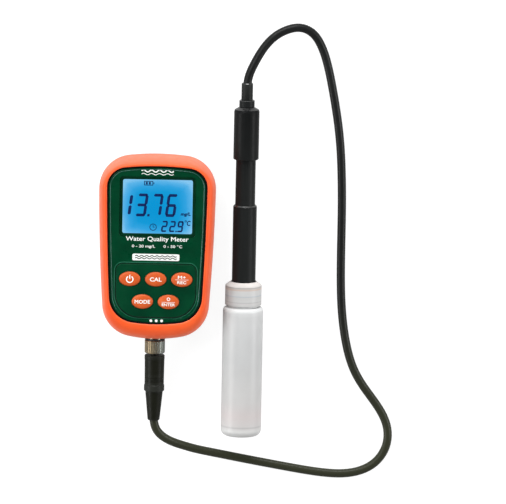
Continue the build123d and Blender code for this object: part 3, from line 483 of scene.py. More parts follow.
CAD_LOOK = {
    "boot": BOOT, "front_housing": GREEN, "rear_housing": GREEN, "housing_gasket": SEAL, "housing_screws": STEEL,
    "display_lens": LENS, "lcd_panel": LCDGLASS, "backlight": DIFFUSER, "zebra_strips": SILICONE, "circuit_board": BOARD,
    "board_components": CHIP, "board_screws": STEEL, "key_domes": STEEL, "keypad_mat": SILICONE, "keypad_overlay": PADGREEN,
    "battery_door": GREEN, "door_gasket": SEAL, "door_screws": STEEL, "batteries": CELLS, "battery_contacts": NICKEL,
    "battery_springs": NICKEL, "socket_barrel": NICKEL, "socket_nut": NICKEL, "socket_insulator": INSUL, "socket_pins": GOLD,
    "socket_seal": SEAL, "socket_wires": WIRES, "coupling_nut": NUT, "plug_shell": SHELL, "plug_insulator": INSUL,
    "plug_wires": WIRES, "plug_grip": GRIP, "grip_collar": GRIP, "plug_strain_relief": GRIP, "cable_meter_half": CABLE,
    "cable_probe_half": CABLE, "probe_strain_relief": RELIEF, "gland_nut": PROBE, "probe_head": PROBE, "probe_stem": PROBE,
    "head_seal": SEAL, "probe_wires": WIRES, "sensor_sleeve": PROBE, "temperature_sensor": STEEL, "sensor_core": CORE,
    "cathode": PLAT, "anode": SILVER, "membrane_cap": PROBE, "membrane": FILM, "membrane_retainer": CORE,
    "membrane_cap_seal": SEAL, "bottle": BOTTLE, "bottle_cap": CAP, "bottle_cap_seal": WHITE_RING,
}
for key_node in ("power_button", "cal_button", "memory_button", "mode_button", "enter_button"):
    CAD_LOOK[key_node] = KEY
for node, look in CAD_LOOK.items():
    o = NODES[node]
    o.data.materials.clear()
    o.data.materials.append(look)


# ---------------------------------------------------------------------------
# Mesh helpers
# ---------------------------------------------------------------------------
def piece(name, verts, faces, mat, body=None, smooth=True, sharp=32):
    me = bpy.data.meshes.new(name)
    me.from_pydata([tuple(v) for v in verts], [], faces)
    me.validate()
    bm = bmesh.new()
    bm.from_mesh(me)
    bmesh.ops.recalc_face_normals(bm, faces=bm.faces)
    bm.to_mesh(me)
    bm.free()
    if smooth:
        me.shade_smooth()
        me.set_sharp_from_angle(angle=math.radians(sharp))
    me.materials.append(mat)
    o = bpy.data.objects.new(name, me)
    bpy.context.scene.collection.objects.link(o)
    if body:
        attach(o, body)
    return o


def circle3(a, b, c):
    (ax, ay), (bx, by), (cx, cy) = a, b, c
    d = 2 * (ax * (by - cy) + bx * (cy - ay) + cx * (ay - by))
    ux = ((ax * ax + ay * ay) * (by - cy) + (bx * bx + by * by) * (cy - ay) + (cx * cx + cy * cy) * (ay - by)) / d
    uy = ((ax * ax + ay * ay) * (cx - bx) + (bx * bx + by * by) * (ax - cx) + (cx * cx + cy * cy) * (bx - ax)) / d
    return ux, uy, math.hypot(ax - ux, ay - uy)


def inner_tangent(c1, c2, r, near):
    """Centre of the circle of radius r inside both circles, closest to near."""
    (x1, y1, r1), (x2, y2, r2) = c1, c2
    ra, rb = r1 - r, r2 - r
    d = math.hypot(x2 - x1, y2 - y1)
    a = (ra * ra - rb * rb + d * d) / (2 * d)
    h = math.sqrt(max(0.0, ra * ra - a * a))
    mx, my = x1 + a * (x2 - x1) / d, y1 + a * (y2 - y1) / d
    best = None
    for s in (1, -1):
        p = (mx + s * h * (y2 - y1) / d, my - s * h * (x2 - x1) / d)
        if best is None or math.hypot(p[0] - near[0], p[1] - near[1]) < math.hypot(best[0] - near[0], best[1] - near[1]):
            best = p
    return best


def touch(c, p):
    x, y, r = c
    k = r / math.hypot(p[0] - x, p[1] - y)
    return x + (p[0] - x) * k, y + (p[1] - y) * k


def arc_pts(c, p, q, n):
    x, y, r = c
    a, b = math.atan2(p[1] - y, p[0] - x), math.atan2(q[1] - y, q[0] - x)
    while b - a > math.pi:
        b -= 2 * math.pi
    while b - a < -math.pi:
        b += 2 * math.pi
    return [(x + r * math.cos(a + (b - a) * i / n), y + r * math.sin(a + (b - a) * i / n)) for i in range(n)]


def outline(o, n=(26, 22, 44, 22, 26)):
    """Closed ring of points along four shallow arcs with rounded corners, clockwise from the top."""
    top, xt, yt, xm, ym, xb, yb, bottom, rt, rb = o
    ct = circle3((-xt, yt), (0, top), (xt, yt))
    cs = circle3((xt, yt), (xm, ym), (xb, yb))
    cb = circle3((-xb, yb), (0, bottom), (xb, yb))
    f1, f2 = inner_tangent(ct, cs, rt, (xt, yt)), inner_tangent(cs, cb, rb, (xb, yb))
    t1, t2 = touch(ct, f1), touch(cs, f1)
    b1, b2 = touch(cs, f2), touch(cb, f2)
    half = arc_pts(ct, (0, top), t1, n[0]) + arc_pts((*f1, rt), t1, t2, n[1]) + arc_pts(cs, t2, b1, n[2]) + arc_pts((*f2, rb), b1, b2, n[3]) + arc_pts(cb, b2, (0, bottom), n[4])
    return half + [(0, bottom)] + [(-x, y) for x, y in half[:0:-1]]


BOOT_OUT = (55.1, 35.15, 50.9, 34.2, 2.0, 31.0, -50.4, -56.5, 20.0, 20.0)
FACE_OUT = (50.9, 30.2, 48.3, 29.3, 3.0, 27.2, -41.6, -45.3, 12.0, 16.0)
CASE = (52.7, 32.8, 50.3, 31.9, 3.0, 29.8, -44.2, -47.9, 16.5, 18.6)


def grown(o, d):
    return (o[0] + d, o[1] + d, o[2] + d, o[3] + d, o[4], o[5] + d, o[6] - d, o[7] - d, o[8] + d, o[9] + d)


def lerp(a, b, t):
    return tuple(x + (y - x) * t for x, y in zip(a, b))


def skin(rings, closed_loop=False, caps=True):
    """Faces joining equal rings; rings is a list of lists of Vectors."""
    n = len(rings[0])
    verts = [v for r in rings for v in r]
    faces = []
    m = len(rings)
    for i in range(m if closed_loop else m - 1):
        a, b = i * n, ((i + 1) % m) * n
        for j in range(n):
            k = (j + 1) % n
            faces.append((a + j, a + k, b + k, b + j))
    if caps and not closed_loop:
        faces.append(tuple(range(n))[::-1])
        faces.append(tuple(range((m - 1) * n, m * n)))
    return verts, faces


# ---------------------------------------------------------------------------
# Boot: one skin with a rolled front lip, a moulding line and a rolled back edge
# ---------------------------------------------------------------------------
section = []
section.append((FACE_OUT, 29.42))
section.append((FACE_OUT, 30.6))
for k in range(7):
    a = math.radians(90 * k / 6)
    section.append((lerp(FACE_OUT, BOOT_OUT, 0.13 * (1 - math.cos(a))), 31.0 + 0.74 * math.sin(a)))
for deg in (80, 76, 72, 67, 62, 56, 50, 43, 36, 29, 22, 15, 9, 4.5):
    a = math.radians(deg)
    section.append((lerp(FACE_OUT, BOOT_OUT, math.cos(a) ** 0.7), 14 + 17.8 * math.sin(a)))
section += [(BOOT_OUT, 14.35), (grown(BOOT_OUT, -0.12), 14.12), (grown(BOOT_OUT, -0.12), 13.88), (BOOT_OUT, 13.65)]
rear = grown(BOOT_OUT, -4.0)
for deg in (6, 13, 21, 30, 40, 50, 59, 66):
    a = math.radians(deg)
    section.append((lerp(rear, BOOT_OUT, math.cos(a)), 14 * (1 - math.sin(a) / math.sin(math.radians(70)))))
end = lerp(rear, BOOT_OUT, math.cos(math.radians(70)))
for inset, z in ((0.15, 0.28), (0.45, 0.08), (0.9, 0.0)):
    section.append((grown(end, -inset), z))
section.append((grown(CASE, -2.6), 0.0))
section.append((grown(CASE, -2.9), 0.1))
section.append((grown(CASE, -3.0), 0.4))
section.append((grown(CASE, -3.0), 1.6))
section.append((grown(CASE, 0.08), 1.6))
section.append((grown(CASE, 0.08), 29.42))
rings = [[at(x, y, z) for x, y in outline(o)] for o, z in section]
v, f = skin(rings, closed_loop=True)
boot = piece("boot_skin", v, f, BOOT, "meter", sharp=50)
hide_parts("boot")

# ---------------------------------------------------------------------------
# Keys: domed ovals with legends
# ---------------------------------------------------------------------------
KEYS = {
    "power_button": (-15.6, -17.8),
    "cal_button": (0.0, -17.8),
    "memory_button": (15.6, -17.8),
    "mode_button": (-7.8, -31.5),
    "enter_button": (7.8, -31.5),
}
KEY_SECTION = ((-6.4, 31.49), (-5.2, 31.48), (-4.0, 31.47), (-3.0, 31.44), (-2.2, 31.39), (-1.5, 31.3), (-0.95, 31.17), (-0.5, 30.98), (-0.2, 30.76), (-0.05, 30.5), (0.0, 30.2), (0.0, 27.9), (1.0, 27.85), (1.0, 26.8), (-0.5, 26.8))


def key_height(dx, dy):
    """Height of the key's dome at an offset from its centre, in mm."""
    a, b = 6.55, 4.5
    u = math.hypot(dx / a, dy / b)
    d = -(1 - u) * b
    pts = [(-4.5, 31.49), (-3.0, 31.46), (-2.2, 31.4), (-1.5, 31.31), (-0.95, 31.18), (-0.5, 31.0), (0, 30.2)]
    for (d0, z0), (d1, z1) in zip(pts, pts[1:]):
        if d <= d1:
            return z0 + (z1 - z0) * max(0.0, d - d0) / (d1 - d0)
    return 30.2


for name, (kx, ky) in KEYS.items():
    rings = []
    for inset, z in KEY_SECTION:
        k = max(0.02, 1 + inset / 4.5) if inset < 0 else 1
        a, b = (6.55 * k, 4.5 * k) if inset < 0 else (6.55 + inset, 4.5 + inset)
        if inset < -4.4:
            k = 0.02 + 0.2 * (inset + 6.4) / 2
            a, b = 6.55 * k, 4.5 * k
        rings.append([at(kx + a * math.cos(t), ky + b * math.sin(t), z) for t in [2 * math.pi * i / 72 for i in range(72)]])
    v, f = skin(rings)
    o = piece(name + "_cap", v, f, KEY, name, sharp=40)
    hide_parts(name)


def flat_mesh(name, polys, z, mat, body, lift=None):
    """Thin printed shapes from polygons in mm; lift(x, y) gives the height instead of z."""
    verts, faces = [], []
    for p in polys:
        base = len(verts)
        for x, y in p:
            verts.append(at(x, y, lift(x, y) if lift else z))
        faces.append(tuple(range(base, base + len(p))))
    me = bpy.data.meshes.new(name)
    me.from_pydata([tuple(q) for q in verts], [], faces)
    me.update()
    bm = bmesh.new()
    bm.from_mesh(me)
    for fc in bm.faces:
        fc.normal_update()
        if fc.normal.z < 0:
            fc.normal_flip()
    bm.to_mesh(me)
    bm.free()
    me.materials.append(mat)
    o = bpy.data.objects.new(name, me)
    bpy.context.scene.collection.objects.link(o)
    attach(o, body)
    return o


def lettering(name, text, x, y, z, size, mat, body, shear=0.0, bold=0.0, width=None, lift=None, space=1.0):
    """Generic lettering as a thin flat mesh, centred on (x, y) in mm; width squeezes or stretches it, bold thickens it."""
    cu = bpy.data.curves.new(name, "FONT")
    cu.body = text
    cu.size = 1.0
    cu.align_x = "CENTER"
    cu.align_y = "CENTER"
    cu.shear = shear
    cu.space_character = space
    cu.resolution_u = 3
    tmp = bpy.data.objects.new(name + "_tmp", cu)
    bpy.context.scene.collection.objects.link(tmp)
    bpy.context.view_layer.update()
    dg = bpy.context.evaluated_depsgraph_get()
    me = bpy.data.meshes.new_from_object(tmp.evaluated_get(dg))
    bpy.data.objects.remove(tmp)
    xs = [q.co.x for q in me.vertices]
    ys = [q.co.y for q in me.vertices]
    cx, cy = (min(xs) + max(xs)) / 2, (min(ys) + max(ys)) / 2
    sx = sy = size / (max(ys) - min(ys))
    if width:
        sx = width / (max(xs) - min(xs))
    shifts = [(0, 0)] if not bold else [(0, 0), (bold, 0), (-bold, 0), (0, bold), (0, -bold)]
    verts, faces = [], []
    for k, (dx, dy) in enumerate(shifts):
        base = len(verts)
        for q in me.vertices:
            px, py = x + (q.co.x - cx) * sx + dx, y + (q.co.y - cy) * sy + dy
            verts.append(tuple(at(px, py, (lift(px, py) if lift else z) + 0.002 * k)))
        faces += [tuple(base + i for i in f.vertices) for f in me.polygons]
    out = bpy.data.meshes.new(name)
    out.from_pydata(verts, [], faces)
    out.materials.append(mat)
    o = bpy.data.objects.new(name, out)
    bpy.context.scene.collection.objects.link(o)
    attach(o, body)
    return o


def arc_band(x, y, r0, r1, a0, a1, n=40):
    """Band of a ring between two angles in degrees, as quads."""
    out = []
    for i in range(n):
        p, q = math.radians(a0 + (a1 - a0) * i / n), math.radians(a0 + (a1 - a0) * (i + 1) / n)
        out.append([(x + r0 * math.cos(p), y + r0 * math.sin(p)), (x + r1 * math.cos(p), y + r1 * math.sin(p)), (x + r1 * math.cos(q), y + r1 * math.sin(q)), (x + r0 * math.cos(q), y + r0 * math.sin(q))])
    return out


def bar(x0, y0, x1, y1, w, n=1):
    dx, dy = x1 - x0, y1 - y0
    k = w / 2 / math.hypot(dx, dy)
    nx, ny = -dy * k, dx * k
    out = []
    for i in range(n):
        ax, ay, bx, by = x0 + dx * i / n, y0 + dy * i / n, x0 + dx * (i + 1) / n, y0 + dy * (i + 1) / n
        out.append([(ax + nx, ay + ny), (bx + nx, by + ny), (bx - nx, by - ny), (ax - nx, ay - ny)])
    return out


def on_key(name):
    kx, ky = KEYS[name]
    return lambda x, y: key_height(x - kx, y - ky) + 0.035


kx, ky = KEYS["power_button"]
flat_mesh("power_legend", arc_band(kx, ky - 0.15, 1.6, 2.3, -237, 57) + bar(kx, ky + 0.1, kx, ky + 2.5, 0.68, 4), 0, WHITE, "power_button", on_key("power_button"))
kx, ky = KEYS["cal_button"]
lettering("cal_legend", "CAL", kx, ky, 0, 2.35, WHITE, "cal_button", bold=0.1, width=7.0, lift=on_key("cal_button"))
kx, ky = KEYS["memory_button"]
lettering("memory_legend_a", "M+", kx, ky + 1.55, 0, 1.7, WHITE, "memory_button", bold=0.09, width=4.6, lift=on_key("memory_button"))
lettering("memory_legend_b", "REC", kx, ky - 1.65, 0, 1.7, WHITE, "memory_button", bold=0.09, width=5.2, lift=on_key("memory_button"))
flat_mesh("memory_line", bar(kx - 3.9, ky, kx + 3.9, ky, 0.26, 12), 0, WHITE, "memory_button", on_key("memory_button"))
kx, ky = KEYS["mode_button"]
lettering("mode_legend", "MODE", kx, ky, 0, 2.2, WHITE, "mode_button", bold=0.1, width=9.2, lift=on_key("mode_button"))
kx, ky = KEYS["enter_button"]
lettering("enter_legend", "ENTER", kx, ky - 1.6, 0, 1.6, WHITE, "enter_button", bold=0.08, width=7.8, lift=on_key("enter_button"))
flat_mesh("enter_line", bar(kx - 3.9, ky - 0.1, kx + 3.9, ky - 0.1, 0.24, 12), 0, WHITE, "enter_button", on_key("enter_button"))
flat_mesh("enter_mark", arc_band(kx, ky + 1.8, 0.62, 1.05, 0, 360, 28), 0, WHITE, "enter_button", on_key("enter_button"))

# ---------------------------------------------------------------------------
# Display picture: blue ground and seven-bar digits
# ---------------------------------------------------------------------------
Z_LCD = 28.085
flat_mesh("display_ground", [[(-20.9, 9.2), (21.5, 9.2), (21.5, 42.9), (-20.9, 42.9)]], Z_LCD, DISPLAY, "meter")
SEGMENTS = {"0": "abcdef", "1": "bc", "2": "abged", "3": "abgcd", "4": "fgbc", "5": "afgcd", "6": "afgedc", "7": "abc", "8": "abcdefg", "9": "abcdfg"}


def seven(ch, x, y, w, h, t, slant=0.13):
    """Bars of one digit; (x, y) is its lower left corner."""
    g = t * 0.14
    out = []

    def horizontal(yc):
        return [(g + t * 0.1, yc), (t * 0.6, yc + t / 2), (w - t * 0.6, yc + t / 2), (w - g - t * 0.1, yc), (w - t * 0.6, yc - t / 2), (t * 0.6, yc - t / 2)]

    def vertical(xc, y0, y1, outer):
        s = 1 if outer else -1
        return [(xc - t / 2, y0 + t * 0.5), (xc - t / 2, y1 - t * 0.5), (xc, y1 - g), (xc + t / 2, y1 - t * 0.5), (xc + t / 2, y0 + t * 0.5), (xc, y0 + g)]

    shapes = {
        "a": horizontal(h - t / 2), "g": horizontal(h / 2), "d": horizontal(t / 2),
        "f": vertical(t / 2, h / 2, h - t * 0.4, True), "b": vertical(w - t / 2, h / 2, h - t * 0.4, False),
        "e": vertical(t / 2, t * 0.4, h / 2, True), "c": vertical(w - t / 2, t * 0.4, h / 2, False),
    }
    for s in SEGMENTS[ch]:
        out.append([(x + px + py * slant, y + py) for px, py in shapes[s]])
    return out


def blob(x, y, w, h, slant=0.13):
    return [[(x + px + py * slant, y + py) for px, py in ((0, 0), (w, 0), (w, h), (0, h))]]


big = []
big += seven("1", -22.2, 19.8, 6.2, 13.9, 1.8)
big += seven("3", -13.2, 19.8, 6.4, 13.9, 1.7)
big += blob(-5.9, 19.85, 1.4, 1.45)
big += seven("7", -4.1, 19.8, 6.3, 13.9, 1.7)
big += seven("6", 4.6, 19.8, 6.2, 13.9, 1.7)
flat_mesh("digits_main", big, Z_LCD + 0.05, NAVY, "meter")
small = []
small += seven("2", 2.4, 10.6, 3.5, 6.8, 1.0)
small += seven("2", 7.2, 10.6, 3.5, 6.8, 1.0)
small += blob(11.1, 10.6, 0.85, 0.9)
small += seven("9", 11.9, 10.6, 3.5, 6.8, 1.0)
flat_mesh("digits_small", small, Z_LCD + 0.05, NAVY, "meter")
lettering("unit_main", "mg/L", 17.2, 21.4, Z_LCD + 0.05, 2.5, NAVY, "meter", shear=0.15, width=5.8, bold=0.13)
lettering("unit_small", "C", 19.1, 16.1, Z_LCD + 0.05, 2.9, NAVY, "meter", shear=0.1, bold=0.12, width=2.1)
flat_mesh("degree_mark", arc_band(17.3, 17.3, 0.32, 0.66, 0, 360, 18), Z_LCD + 0.05, NAVY, "meter")
# timer mark, a ring with two hands
flat_mesh("timer_mark", arc_band(-2.2, 13.4, 1.7, 2.15, 0, 360, 40) + bar(-2.2, 13.4, -2.2, 14.8, 0.36) + bar(-2.2, 13.4, -1.2, 13.4, 0.36), Z_LCD + 0.05, NAVY, "meter")
# battery mark at the top: case, nub and two bars
flat_mesh("battery_mark", bar(-8.0, 41.2, -2.6, 41.2, 0.45) + bar(-8.0, 38.9, -2.6, 38.9, 0.45) + bar(-7.8, 38.9, -7.8, 41.2, 0.45) + bar(-2.8, 38.9, -2.8, 41.2, 0.45) + bar(-2.4, 40.05, -1.9, 40.05, 1.1) + bar(-6.4, 39.3, -6.4, 40.8, 1.1) + bar(-4.6, 39.3, -4.6, 40.8, 1.1), Z_LCD + 0.05, NAVY, "meter")

# ---------------------------------------------------------------------------
# Printed graphics on the green face
# ---------------------------------------------------------------------------
Z_FACE = 30.62
lettering("title_print", "Water Quality Meter", 0.4, 6.3, Z_FACE, 3.5, WHITE, "meter", bold=0.05, width=37.5)
lettering("ranges_print", "0 - 20 mg/L      0 - 50 \u00b0C", 0.4, 2.0, Z_FACE, 2.2, WHITE, "meter", bold=0.03, width=30.0)


def rounded_rect(x0, y0, x1, y1, r, n=6):
    out = []
    for cx, cy, a in ((x1 - r, y1 - r, 0), (x0 + r, y1 - r, 90), (x0 + r, y0 + r, 180), (x1 - r, y0 + r, 270)):
        for i in range(n + 1):
            t = math.radians(a + 90 * i / n)
            out.append((cx + r * math.cos(t), cy + r * math.sin(t)))
    return out


def wave(x0, x1, y, amp, length, w, n=40):
    """Wavy line of constant width."""
    pts = [(x0 + (x1 - x0) * i / n, y + amp * math.sin((x1 - x0) * i / n * 2 * math.pi / length)) for i in range(n + 1)]
    out = []
    for (ax, ay), (bx, by) in zip(pts, pts[1:]):
        out += bar(ax, ay, bx + (bx - ax) * 0.06, by + (by - ay) * 0.06, w)
    return out


flat_mesh("badge_ground", [rounded_rect(-14.3, -6.5, 13.9, -2.45, 0.95)], Z_FACE, WHITE, "meter")
flat_mesh("badge_mark", wave(-12.6, 12.2, -3.8, 0.4, 3.1, 0.55, 90) + wave(-12.6, 12.2, -5.15, 0.4, 3.1, 0.55, 90), Z_FACE + 0.03, BADGE_DARK, "meter")
# plain wave marks above the display
flat_mesh("top_mark", wave(-9.6, 9.6, 47.9, 0.62, 4.8, 0.75, 90) + wave(-9.6, 9.6, 46.0, 0.4, 4.8, 0.4, 90), Z_FACE, WHITE, "meter")
flat_mesh("foot_mark", [q for dx in (-3.2, 0.0, 3.2) for q in arc_band(0.7 + dx, -43.1, 0.0, 0.85, 0, 360, 24)], Z_FACE, WHITE, "meter")

# ---------------------------------------------------------------------------
# Beads: a near-black bead round the face as painted shadow in the gap to the boot lip, glossy rim on its sides, a dark
# joint round the key pad widened at the bottom as painted shade, and the key pad's moulded edge
# ---------------------------------------------------------------------------
def bead(name, ring, z, r, mat, body="meter"):
    """Half-round bead along a closed ring of (x, y) points; r is a radius or a function of (x, y)."""
    n = len(ring)
    rings = []
    for deg in (0, 30, 60, 90, 120, 150, 180):
        a, row = math.radians(deg), []
        for i in range(n):
            (x0, y0), (x1, y1), (x2, y2) = ring[i - 1], ring[i], ring[(i + 1) % n]
            tx, ty = x2 - x0, y2 - y0
            k = math.hypot(tx, ty) or 1.0
            rr = r(x1, y1) if callable(r) else r
            row.append(at(x1 + rr * math.cos(a) * ty / k, y1 - rr * math.cos(a) * tx / k, z + rr * math.sin(a)))
        rings.append(row)
    v, f = skin(rings, caps=False)
    return piece(name, v, f, mat, body, sharp=60)


def pad_ring(d, n=16):
    out = []
    x1, y1, x0, y0 = 23.9 + d, -8.7 + d, -23.9 - d, -40.8 - d
    for cx, cy, r, a in ((x1 - 4 - d, y1 - 4 - d, 4 + d, 90), (x1 - 14 - d, y0 + 14 + d, 14 + d, 0), (x0 + 14 + d, y0 + 14 + d, 14 + d, -90), (x0 + 4 + d, y1 - 4 - d, 4 + d, -180)):
        for i in range(n + 1):
            t = math.radians(a - 90 * i / n)
            out.append((cx + r * math.cos(t), cy + r * math.sin(t)))
    return out


FACE_GAP_SHADE = make_black("gap_shade_black", (6, 8, 7), (16, 18, 17), (0.5, 0.66), 2600, (1, 1, 1), 0.2, 0.0, 0.05)
RIM = make_green("rim_green", (8, 70, 56), (14, 82, 68), (24, 96, 82), (0.14, 0.22))
RIM.node_tree.nodes["Principled BSDF"].inputs["Specular IOR Level"].default_value = 0.9
PAD_JOINT_SHADE = make_green("pad_joint_shade_green", (0, 24, 14), (0, 30, 18), (2, 38, 24), (0.4, 0.5))
PADLINE = make_green("pad_edge_green", (20, 84, 60), (28, 94, 70), (38, 106, 80), (0.24, 0.36))
# painted shadow: a near-black bead round the face stands for the shade in the gap to the boot lip, wider on the right
bead("face_gap_shade", outline(grown(FACE_OUT, -0.42)), Z_FACE - 0.05, lambda x, y: 0.62 if x > 20 else 0.46, FACE_GAP_SHADE)
bead("face_rim", outline(grown(FACE_OUT, -2.0)), Z_FACE - 0.03, lambda x, y: 0.3 * min(1.0, max(0.06, (y + 40.0) / 7.0)) * (1.0 if x > 0 else 0.7), RIM)
# a dark joint round the key pad, widened towards the bottom as painted shade
bead("pad_joint_shade", pad_ring(0.3), Z_FACE - 0.03, lambda x, y: 0.13 + 0.3 * min(1.0, max(0.0, (-24.0 - y) / 10.0)), PAD_JOINT_SHADE)
bead("pad_edge", pad_ring(0.95), Z_FACE - 0.03, 0.26, PADLINE)

# ---------------------------------------------------------------------------
# Cable: one continuous length that bends where the two CAD halves part
# ---------------------------------------------------------------------------
GUIDE = [
    (52.6, 70.0, 12.1), (52.6, 78.0, 12.1), (52.6, 86.0, 12.1), (52.6, 94.0, 12.1), (52.6, 101.5, 12.1),
    (55.0, 108.0, 12.0), (58.6, 115.0, 11.3), (62.6, 121.6, 10.1), (68.4, 127.6, 8.6), (75.1, 131.2, 7.1),
    (82.0, 132.9, 5.8), (88.2, 131.5, 4.7), (93.3, 127.3, 3.8), (96.8, 121.0, 3.2), (99.9, 112.7, 2.8),
    (103.0, 99.5, 2.6), (105.9, 84.1, 2.6), (107.9, 71.9, 2.6), (109.4, 58.5, 2.6), (110.3, 43.0, 2.6),
    (110.8, 25.0, 2.6), (110.8, 6.2, 2.6), (110.8, -12.0, 2.6), (111.1, -27.0, 2.6), (111.9, -40.0, 2.6),
    (113.4, -52.0, 2.6), (115.8, -64.4, 2.6), (119.6, -76.0, 2.6), (126.0, -86.5, 2.6), (134.5, -97.0, 2.6),
    (141.5, -109.0, 2.6), (141.5, -123.0, 2.6), (133.0, -135.0, 2.6), (118.0, -140.2, 2.6), (100.7, -139.2, 2.6),
    (84.0, -136.6, 2.6), (64.6, -133.3, 2.6), (50.0, -130.6, 3.1), (36.8, -127.9, 4.5), (26.0, -125.6, 6.5),
    (18.3, -123.0, 8.9), (11.2, -120.4, 11.6), (5.6, -117.0, 13.8), (1.7, -112.9, 15.2), (0.0, -107.5, 15.5),
    (0.0, -102.0, 15.5), (0.0, -96.0, 15.5), (0.0, -88.0, 15.5), (0.0, -80.0, 15.5), (0.0, -72.0, 15.5),
]


def cable_line(steps=6):
    g = [Vector(p) for p in GUIDE]
    out = []
    for i in range(1, len(g) - 2):
        p0, p1, p2, p3 = g[i - 1], g[i], g[i + 1], g[i + 2]
        for k in range(steps):
            t = k / steps
            out.append((p0 * (1 - t) ** 3 + p1 * (3 * t**3 - 6 * t**2 + 4) + p2 * (-3 * t**3 + 3 * t**2 + 3 * t + 1) + p3 * t**3) / 6)
    out.append((g[-3] + g[-2] * 4 + g[-1]) / 6)
    return out


line = cable_line()
sides = 24
rings = []
normal = Vector((0, 0, 1))
for i, p in enumerate(line):
    d = (line[min(i + 1, len(line) - 1)] - line[max(i - 1, 0)]).normalized()
    normal = (normal - d * normal.dot(d)).normalized()
    side = d.cross(normal)
    rings.append([at(*(p + (normal * math.cos(2 * math.pi * j / sides) + side * math.sin(2 * math.pi * j / sides)) * 2.55)) for j in range(sides)])
v, f = skin(rings)
cable = piece("cable_run", v, f, CABLE, None, sharp=60)
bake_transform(cable)
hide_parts("cable_meter_half", "cable_probe_half")

# ---------------------------------------------------------------------------
# Smooth shading of the CAD nodes
# ---------------------------------------------------------------------------
for n, o in NODES.items():
    if o.hide_render:
        continue
    if not o.data.has_custom_normals:
        o.data.shade_smooth()
        o.data.set_sharp_from_angle(angle=math.radians(30))

# ---------------------------------------------------------------------------
# Stage
# ---------------------------------------------------------------------------
def make_floor():
    """Luminous white table top: bright to the eye with a soft shadow, dimmer in reflections, clear from below."""
    m = bpy.data.materials.new("floor_white")
    m.use_nodes = True
    nt = m.node_tree
    nt.nodes.clear()
    new, link = nt.nodes.new, nt.links.new
    out = new("ShaderNodeOutputMaterial")
    seen_d, glow, add = new("ShaderNodeBsdfDiffuse"), new("ShaderNodeEmission"), new("ShaderNodeAddShader")
    seen_d.inputs["Color"].default_value = (0.3, 0.3, 0.3, 1)
    glow.inputs["Strength"].default_value = 0.87
    link(seen_d.outputs[0], add.inputs[0])
    link(glow.outputs[0], add.inputs[1])
    other, other_d, other_e = new("ShaderNodeAddShader"), new("ShaderNodeBsdfDiffuse"), new("ShaderNodeEmission")
    other_d.inputs["Color"].default_value = (0.4, 0.4, 0.4, 1)
    other_e.inputs["Strength"].default_value = 0.3
    link(other_d.outputs[0], other.inputs[0])
    link(other_e.outputs[0], other.inputs[1])
    path, seen = new("ShaderNodeLightPath"), new("ShaderNodeMixShader")
    link(path.outputs["Is Camera Ray"], seen.inputs[0])
    link(other.outputs[0], seen.inputs[1])
    link(add.outputs[0], seen.inputs[2])
    t, g, mx = new("ShaderNodeBsdfTransparent"), new("ShaderNodeNewGeometry"), new("ShaderNodeMixShader")
    link(g.outputs["Backfacing"], mx.inputs[0])
    link(seen.outputs[0], mx.inputs[1])
    link(t.outputs[0], mx.inputs[2])
    link(mx.outputs[0], out.inputs["Surface"])
    return m


me = bpy.data.meshes.new("floor")
S = 12.0
me.from_pydata([(-S, -S, -0.0003), (S, -S, -0.0003), (S, S, -0.0003), (-S, S, -0.0003)], [], [(0, 1, 2, 3)])
me.materials.append(make_floor())
floor = bpy.data.objects.new("floor", me)
bpy.context.scene.collection.objects.link(floor)


def light(name, loc, size, energy, target, color=(1, 1, 1), size_y=None):
    l = bpy.data.lights.new(name, "AREA")
    l.energy = energy
    l.color = color
    l.size = size
    if size_y:
        l.shape = "RECTANGLE"
        l.size_y = size_y
    o = bpy.data.objects.new(name, l)
    o.location = loc
    o.rotation_mode = "QUATERNION"
    o.rotation_quaternion = (Vector(target) - Vector(loc)).to_track_quat("-Z", "Y")
    bpy.context.scene.collection.objects.link(o)
    return o


light("key_top", (-0.1, 1.35, 0.62), 1.3, 17.5, (0, 0.02, 0), size_y=0.5)
light("key_high", (-0.75, 0.55, 1.15), 0.7, 7.5, (0, 0, 0), size_y=0.6)
light("rim_right", (1.25, 0.1, 0.55), 0.9, 9.0, (0, 0, 0), size_y=0.4)
light("fill_left", (-1.25, -0.3, 0.6), 0.8, 7.5, (0, 0, 0), size_y=0.5)

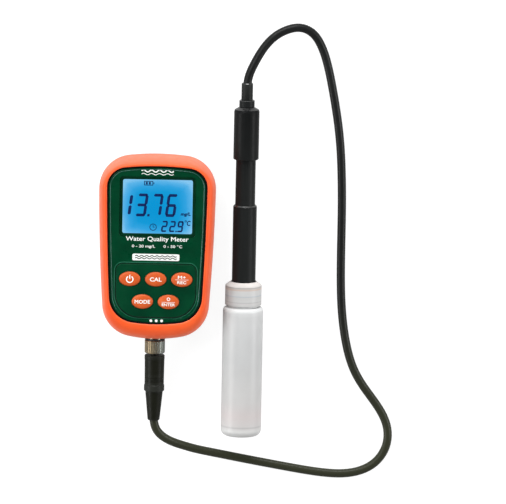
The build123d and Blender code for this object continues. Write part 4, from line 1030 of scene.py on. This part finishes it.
world = bpy.data.worlds.new("studio")
bpy.context.scene.world = world
world.use_nodes = True
wn = world.node_tree
wn.nodes.clear()
wo = wn.nodes.new("ShaderNodeOutputWorld")
wb = wn.nodes.new("ShaderNodeBackground")
wt = wn.nodes.new("ShaderNodeTexCoord")
ws = wn.nodes.new("ShaderNodeSeparateXYZ")
wr = wn.nodes.new("ShaderNodeValToRGB")
wn.links.new(wt.outputs["Generated"], ws.inputs[0])
wn.links.new(ws.outputs["Z"], wr.inputs[0])
el = wr.color_ramp.elements
el[0].position, el[0].color = 0.0, (0.95, 0.95, 0.95, 1)
el[1].position, el[1].color = 1.0, (0.14, 0.14, 0.14, 1)
for pos, v in ((0.45, 0.85), (0.72, 0.55), (0.88, 0.2)):
    e = el.new(pos)
    e.color = (v, v, v, 1)
wn.links.new(wr.outputs[0], wb.inputs["Color"])
wb.inputs["Strength"].default_value = 0.66
wn.links.new(wb.outputs[0], wo.inputs["Surface"])

scene = bpy.context.scene
scene.view_settings.view_transform = "Standard"
scene.view_settings.look = "None"
scene.view_settings.exposure = 0.0
scene.view_settings.gamma = 1.0

# ---------------------------------------------------------------------------
# Camera: above the table, leaning 10 degrees towards the top end
# ---------------------------------------------------------------------------
TILT, ROLL, DIST = math.radians(10.0), math.radians(1.1), 7.0
target = at(57.9, -2.85, 15)
back = Vector((0, math.sin(TILT), math.cos(TILT)))
up = Vector((0, math.cos(TILT), -math.sin(TILT)))
right = up.cross(back).normalized()
cam_data = bpy.data.cameras.new("camera")
cam_data.sensor_width = 36.0
cam_data.lens = 36.0 * DIST / 0.3036
cam_data.clip_start, cam_data.clip_end = 0.05, 100
cam = bpy.data.objects.new("camera", cam_data)
scene.collection.objects.link(cam)
cam.location = target + back * DIST
r2 = right * math.cos(ROLL) + up * math.sin(ROLL)
u2 = up * math.cos(ROLL) - right * math.sin(ROLL)
cam.matrix_world = Matrix((
    (r2.x, u2.x, back.x, cam.location.x),
    (r2.y, u2.y, back.y, cam.location.y),
    (r2.z, u2.z, back.z, cam.location.z),
    (0, 0, 0, 1)))
scene.camera = cam
